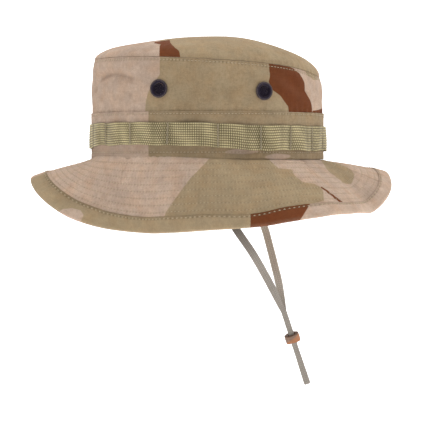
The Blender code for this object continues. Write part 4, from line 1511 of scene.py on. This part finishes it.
def make_brim_half(label, cloth, deg, reach, holes, arc, skins):
    """One side of the brim, both layers; its front and back edges are pinched by the seams."""
    ends = np.zeros(len(deg))
    ends[[0, -1]] = 1.0
    middle = (cloth[0] + cloth[1]) / 2
    squeeze = (1 - 0.25 * ends)[:, None, None]
    points = shell(*(middle + (sheet - middle) * squeeze for sheet in cloth))
    upper, lower = (patch_values(panel, deg, reach / MM) for panel in ("brim", "under"))
    patches = {key: shell(upper[key], lower[key]) for key in upper}
    # The brim's back end is painted darker, as shade: its cloth is made less pale there
    back_end = smooth_step(np.cos(np.radians(deg)), 0.6, 0.95)
    # Painted shade along the seams at the brim's ends and root, and in the needle holes, weaker at the
    # back end
    seams = ends[:, None] * 0.2 + 0.35 * bell(reach, 0.9 * MM)
    dark = np.clip((0.8 - 0.45 * back_end) * holes + seams, 0, 1)
    faded = np.repeat(1 - 0.5 * back_end, points.shape[1])
    uv = cloth_uv(shell(arc, arc), shell(reach, reach))
    half = add_print(
        f"brim_{label}", points, skins, TUBE, uv, patches, groove=shell(dark, dark), faded=faded
    )
    register(half, "tan", f"brim_upper_{label}", f"brim_lower_{label}")


def make_quilting(sheets, shares, middle, skins):
    """The brim's concentric rows of stitches, on its top and its underside."""
    step = middle[-1] / QUILT_COUNT
    begin = (np.arange(QUILT_COUNT) + 0.5 * (1 - QUILT_FILL)) * step
    for label, (points, normals) in sheets.items():
        shapes = []
        for share in QUILT_SHARES:
            column = int(np.argmin(np.abs(shares - share)))
            ways = normals[:, column]
            line = points[:, column] + ways * 0.08 * MM
            length = QUILT_FILL * step
            shapes.append(running_stitches(line, ways, middle, begin, length, 0.25 * MM, look=0))
        add_stitches(f"quilting_{label}", shapes, skins["thread"])


BINDING_COUNT = 192  # stitches round the hat
BINDING_STATIONS = 6 * BINDING_COUNT
BINDING_STITCH = 2.1 * MM  # from the binding's inner edge
# Binding section: share of its width in from the rim (1 is the seam), and mm over the brim's top
BINDING_EDGE = ((0.985, 0.28), (1.0, 0.45), (0.995, 0.68), (0.97, 0.84))
BINDING_FLAT = (0.93, 0.90, 0.87, 0.845, 0.82, 0.79, 0.74, 0.66, 0.56, 0.46, 0.36, 0.26, 0.18, 0.12)
RIM_HALF_THICK = 2.05
RIM_MIDDLE = -1.15
RIM_OUT = 1.15
RIM_TURN = 1.2


def binding_outline():
    """The binding's closed section as (share in, mm beyond, mm over the brim's top)."""
    top = [(share, 0.0, level) for share, level in BINDING_EDGE]
    top += [(share, 0.0, RIM_MIDDLE + RIM_HALF_THICK) for share in BINDING_FLAT]
    rim = []
    for number in range(1, 14):
        turn = math.radians(90 - 180 * number / 14)
        beyond = -RIM_TURN + (RIM_OUT + RIM_TURN) * math.cos(turn)
        rim.append((0.0, beyond, RIM_MIDDLE + RIM_HALF_THICK * math.sin(turn)))
    under = [(share, beyond, 2 * RIM_MIDDLE - level) for share, beyond, level in top[::-1]]
    inside = [(0.5, 0.0, -2.6), (0.0, 0.3, -2.6), (0.0, 0.3, 0.28), (0.5, 0.0, 0.28)]
    return np.array([*top, *rim, *under, *inside]), 2 * len(top) + len(rim)


def make_binding(skins):
    deg = stations(BINDING_STATIONS)
    t = np.radians(deg)
    outline, inside = binding_outline()
    share, beyond, over = outline.T[:, None, :]
    width = binding_width(deg)
    beyond = beyond * MM - share * width
    over = over * MM + 0 * deg
    reach = brim_width(deg) + beyond
    shown = (np.arange(len(outline)) < inside)[None, :]
    side = np.where(over > RIM_MIDDLE * MM, 1.0, -1.0)
    from_seam = beyond + width
    stitched = bell(from_seam - BINDING_STITCH, 0.75 * MM) * shown
    beat = np.cos(t * BINDING_COUNT)
    ripple = np.sin(104 * t + 2.4 * np.sin(5 * t)) + 0.6 * np.sin(61 * t + 1.0)
    ripple = 0.12 * MM * ripple * shown * bell(from_seam - 3 * MM, 5 * MM)
    height = over + side * (ripple - (0.36 + 0.10 * beat) * MM * stitched)
    points, _ = brim_place(deg, reach, height)
    below = over < RIM_MIDDLE * MM
    patches = patch_values("binding", deg, np.where(below, BRIM_WIDTH / MM, reach / MM))
    # Painted shade along the stitch line and in its needle holes, a painted shadow line along the inner
    # edge, and painted shade near the front where the brim's edge tilts
    holes = stitched * np.maximum(beat, 0) ** 0.8
    inner_edge = bell(from_seam - 0.4 * MM, 0.9 * MM) * shown
    hollow = 0.42 * bell(from_seam - 3 * MM, 4 * MM) * bell(deg - 198, 17) * shown
    groove = 0.15 * stitched + 0.75 * holes + 0.62 * inner_edge + hollow
    uv = cloth_uv(run_lengths(points[:, :1], 0), run_lengths(points[:1], 1))
    binding = add_print(
        "rim_binding", points, skins, RING, uv, patches,
        worn=0.25 * bell(beyond - 0.5 * MM, 1.6 * MM) * shown, groove=np.clip(groove, 0, 1), faded=0.5,
    )  # fmt: skip
    register(binding, "khaki", "brim_binding")
    make_binding_stitches(skins)


def make_binding_stitches(skins):
    """One stitch between each pair of needle holes, on both faces of the binding."""
    turn = (np.arange(BINDING_COUNT)[:, None] + 0.5) * 360.0 / BINDING_COUNT
    half = 0.20 * 360.0 / BINDING_COUNT
    shapes = []
    for facing in (1, -1):
        level = (RIM_MIDDLE + facing * (RIM_HALF_THICK - 0.12)) * MM
        ends = []
        for deg in (turn - half, turn + half):
            reach = brim_width(deg) - binding_width(deg) + BINDING_STITCH
            line, normals = brim_place(deg, reach, level + 0 * reach)
            ends.append(line[:, 0])
        shapes.append(stitch_shapes(*ends, normals[:, 0] * facing, 0.46 * MM))
    add_stitches("stitches_binding", shapes, skins["thread"])


# ---- Chin cord ----------------------------------------------------------------------------
BRAID_COLUMNS = 4
BRAID_PITCH = 1.9 * MM
BRAID_DEPTH = 0.17 * MM
CORD_STEP = 0.4 * MM


def stack_normal():
    """Across the two stacked cords, towards the wearer's left."""
    toward = Vector((0, -1, 0))
    return (toward - SLIDER_AXIS * toward.dot(SLIDER_AXIS)).normalized()


def cord_line(legs, side):
    """A cord's centreline from its anchor to its tail; side is 1 for the left cord."""
    offset = stack_normal() * side * (CORD_THICK + GAP) / 2
    start = SLIDER_PLACE - SLIDER_AXIS * STRAIGHT_ABOVE + offset
    end = SLIDER_PLACE + SLIDER_AXIS * TAIL_BELOW + offset
    points = np.array([*legs, tuple(start)])
    ends = np.concatenate([[2 * points[0] - points[1]], points, [2 * points[-1] - points[-2]]])
    shares = np.linspace(0, 1, 30, endpoint=False)[:, None]
    route = [spline(*ends[i : i + 4], shares) for i in range(len(points) - 1)]
    route = np.concatenate([*route, np.linspace(np.array(start), np.array(end), 60)])
    travelled = run_lengths(route, 0)
    steps = np.linspace(0, travelled[-1], round(travelled[-1] / CORD_STEP))
    return sampled(route, travelled, steps)


def braid_outline():
    """Unit section of a flat braid: (across from -1 to 1, through from -1 to 1)."""
    face = np.linspace(-0.8, 0.8, 25)
    turn = np.radians(np.linspace(75, -75, 6))
    edge = np.stack([0.8 + 0.2 * np.cos(turn), np.sin(turn)], axis=-1)
    upper = np.stack([face, 1 + 0 * face], axis=-1)
    return np.concatenate([upper, edge, -upper, -edge])


def braid_relief(u, w, travelled):
    """The braid's strands from 0 to 1, slanting one way on each of its columns."""
    column = (u + 1) / 2 * BRAID_COLUMNS
    fold = np.abs((column % 1) - 0.5) * 2
    turns = travelled[:, None] / BRAID_PITCH + 0.8 * fold * np.sign(w)
    strands = 0.5 + 0.5 * np.cos(math.tau * turns)
    return strands * np.abs(np.sin(math.pi * column)) ** 0.6


def cord_painted_shade(travelled, gather, near):
    """How much darker the cord is painted: painted shade under the brim on the near cord, lessening
    down it, and darker where the cords gather at the slider.
    """
    brim_shade = 1.0 - 0.365 * smooth_step(travelled, 0.052, 0.12)
    brim_shade = brim_shade - 0.08 * smooth_step(travelled, 0.12, 0.20)
    return np.maximum(brim_shade if near else 0, 0.475 * gather)[:, None]


def make_cord(name, node_name, legs, side, skins):
    line = cord_line(legs, side)
    travelled = run_lengths(line, 0)
    way = unit(np.gradient(line, axis=0))
    across = unit(np.cross(way, np.array([0.0, 1.0, 0.0])))
    through = np.cross(across, way)
    total = travelled[-1]
    straight = STRAIGHT_ABOVE + TAIL_BELOW
    gather = smooth_step(travelled, total - straight - 0.03, total - straight)
    gather = gather - 0.45 * smooth_step(travelled, total - TAIL_BELOW + 0.01, total)
    half = (CORD_WIDTH + (GATHERED_WIDTH - CORD_WIDTH) * gather) / 2
    tip = np.sqrt(np.clip((total - travelled) / (1.2 * MM), 0.03, 1))
    top = np.sqrt(np.clip(travelled / (0.6 * MM), 0.2, 1))
    ends = (tip * top)[:, None]
    u, w = braid_outline().T[:, None, :]
    relief = braid_relief(u, w, travelled)
    depth = CORD_THICK / 2 * w + np.sign(w) * BRAID_DEPTH * (relief - 0.6) * (np.abs(w) > 0.2)
    offset = across[:, None] * (u * half[:, None] * (0.75 + 0.25 * ends))[..., None]
    offset = offset + through[:, None] * (depth * ends)[..., None]
    points = line[:, None] + offset
    values = {"relief": relief, "cord_shade": cord_painted_shade(travelled, gather, side > 0) + 0 * relief}
    faces = tube_faces(*points.shape[:2])
    cord = add_mesh(name, points, faces, skins["braid"], values=values)
    register(cord, "braid", node_name, body="chin_cord")


SLIDER_SECTION = (
    (0.00, 0.86), (0.03, 0.97), (0.12, 1.0), (0.30, 0.96), (0.46, 0.93), (0.52, 0.86),
    (0.58, 0.93), (0.78, 0.98), (0.93, 0.98), (1.0, 0.90), (1.02, 0.6), (1.02, 0.0),
    (1.02, -0.6), (1.0, -0.90), (0.93, -0.98), (0.75, -1.0), (0.58, -0.96), (0.52, -0.88),
    (0.46, -0.95), (0.25, -0.98), (0.10, -1.0), (0.02, -0.95), (0.0, -0.85), (-0.02, 0.0),
)  # share from the hole to the outside, and share of the half height
SLIDER_ROUND = 96
SLIDER_HALF_SIZE = (6.7 * MM, 5.6 * MM)
SLIDER_HALF_HOLE = (3.3 * MM, 2.6 * MM)


def make_slider(skins):
    """The leather keeper: a strip wound twice round both cords, so its ends show two layers."""
    through = np.array(stack_normal())
    axis = np.array(SLIDER_AXIS)
    across = np.cross(axis, through)
    turn = np.arange(SLIDER_ROUND) * math.tau / SLIDER_ROUND
    outer = np.stack(superellipse(*SLIDER_HALF_SIZE, turn, 2.6), axis=-1)
    inner = np.stack(superellipse(*SLIDER_HALF_HOLE, turn, 6.0), axis=-1)
    share, level = smooth_outline(SLIDER_SECTION, 3).T[:, None, :]
    wobble = 0.16 * MM * np.sin(3 * turn + 0.7) + 0.10 * MM * np.sin(7 * turn + 2.0)
    flat = inner[:, None] + (outer - inner)[:, None] * share[..., None]
    flat = flat * (1 - 0.02 * np.abs(level)[..., None])
    height = level * SLIDER_HEIGHT / 2 + wobble[:, None] * np.sign(level)
    points = np.array(SLIDER_PLACE) + flat[..., :1] * across + flat[..., 1:] * through
    points = points + height[..., None] * axis
    worn = smooth_step(np.abs(level), 0.75, 0.97) * np.ones((SLIDER_ROUND, 1))
    reverse = smooth_step(-level + 0.75 * np.cos(turn)[:, None], -0.05, 0.35)
    values = {"worn": worn, "reverse": reverse}
    slider = add_grid("leather_keeper", points, skins["leather"], *RING, values=values)
    register(slider, "leather", "cord_slider", body="slider")
    return slider


def make_anchors(skins):
    """Folded tape tabs inside the band, which the cords are sewn to."""
    turn = np.arange(40) * math.tau / 40
    along = np.linspace(-1, 1, 30)[:, None]
    pinch = 1 - 0.25 * np.abs(along) ** 8
    for label in ("left", "right"):
        low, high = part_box(f"cord_anchor_{label}")
        middle, size = (low + high) / 2, high - low
        y, z = superellipse(size.y / 2, size.z / 2, turn, 7.0)
        dent = 1 - 0.22 * bell(np.abs(z) - 0.3 * size.z, 0.5 * MM)
        local = np.broadcast_arrays(along * size.x / 2, y * pinch * dent, z)
        points = np.stack(local, axis=-1) + np.array(middle)
        uv = cloth_uv(points[..., 0], points[..., 2])
        faces = tube_faces(*points.shape[:2])
        tab = add_mesh(f"anchor_tab_{label}", points, faces, skins["tape"], uv=uv)
        register(tab, "khaki", f"cord_anchor_{label}")


# ---- The whole scene ----------------------------------------------------------------------


def main():
    add_camera()
    add_lights()
    skins = make_materials()
    slider = make_slider(skins)
    make_cord("cord_left", "chin_cord_left", LEFT_ROUTE, 1, skins)
    make_cord("cord_right", "chin_cord_right", RIGHT_ROUTE, -1, skins)
    make_anchors(skins)
    make_crown_side("crown_left", 180, "crown_side_left", skins)
    make_crown_side("crown_right", 0, "crown_side_right", skins)
    make_tip(skins)
    make_tip_stitches(skins)
    make_base_band(skins)
    make_webbing(skins)
    make_vents(skins)
    make_brim(skins)
    make_binding(skins)
    make_sweatband(skins)
    make_seam_tape(skins)
    make_label(skins)
    add_backdrop()


main()
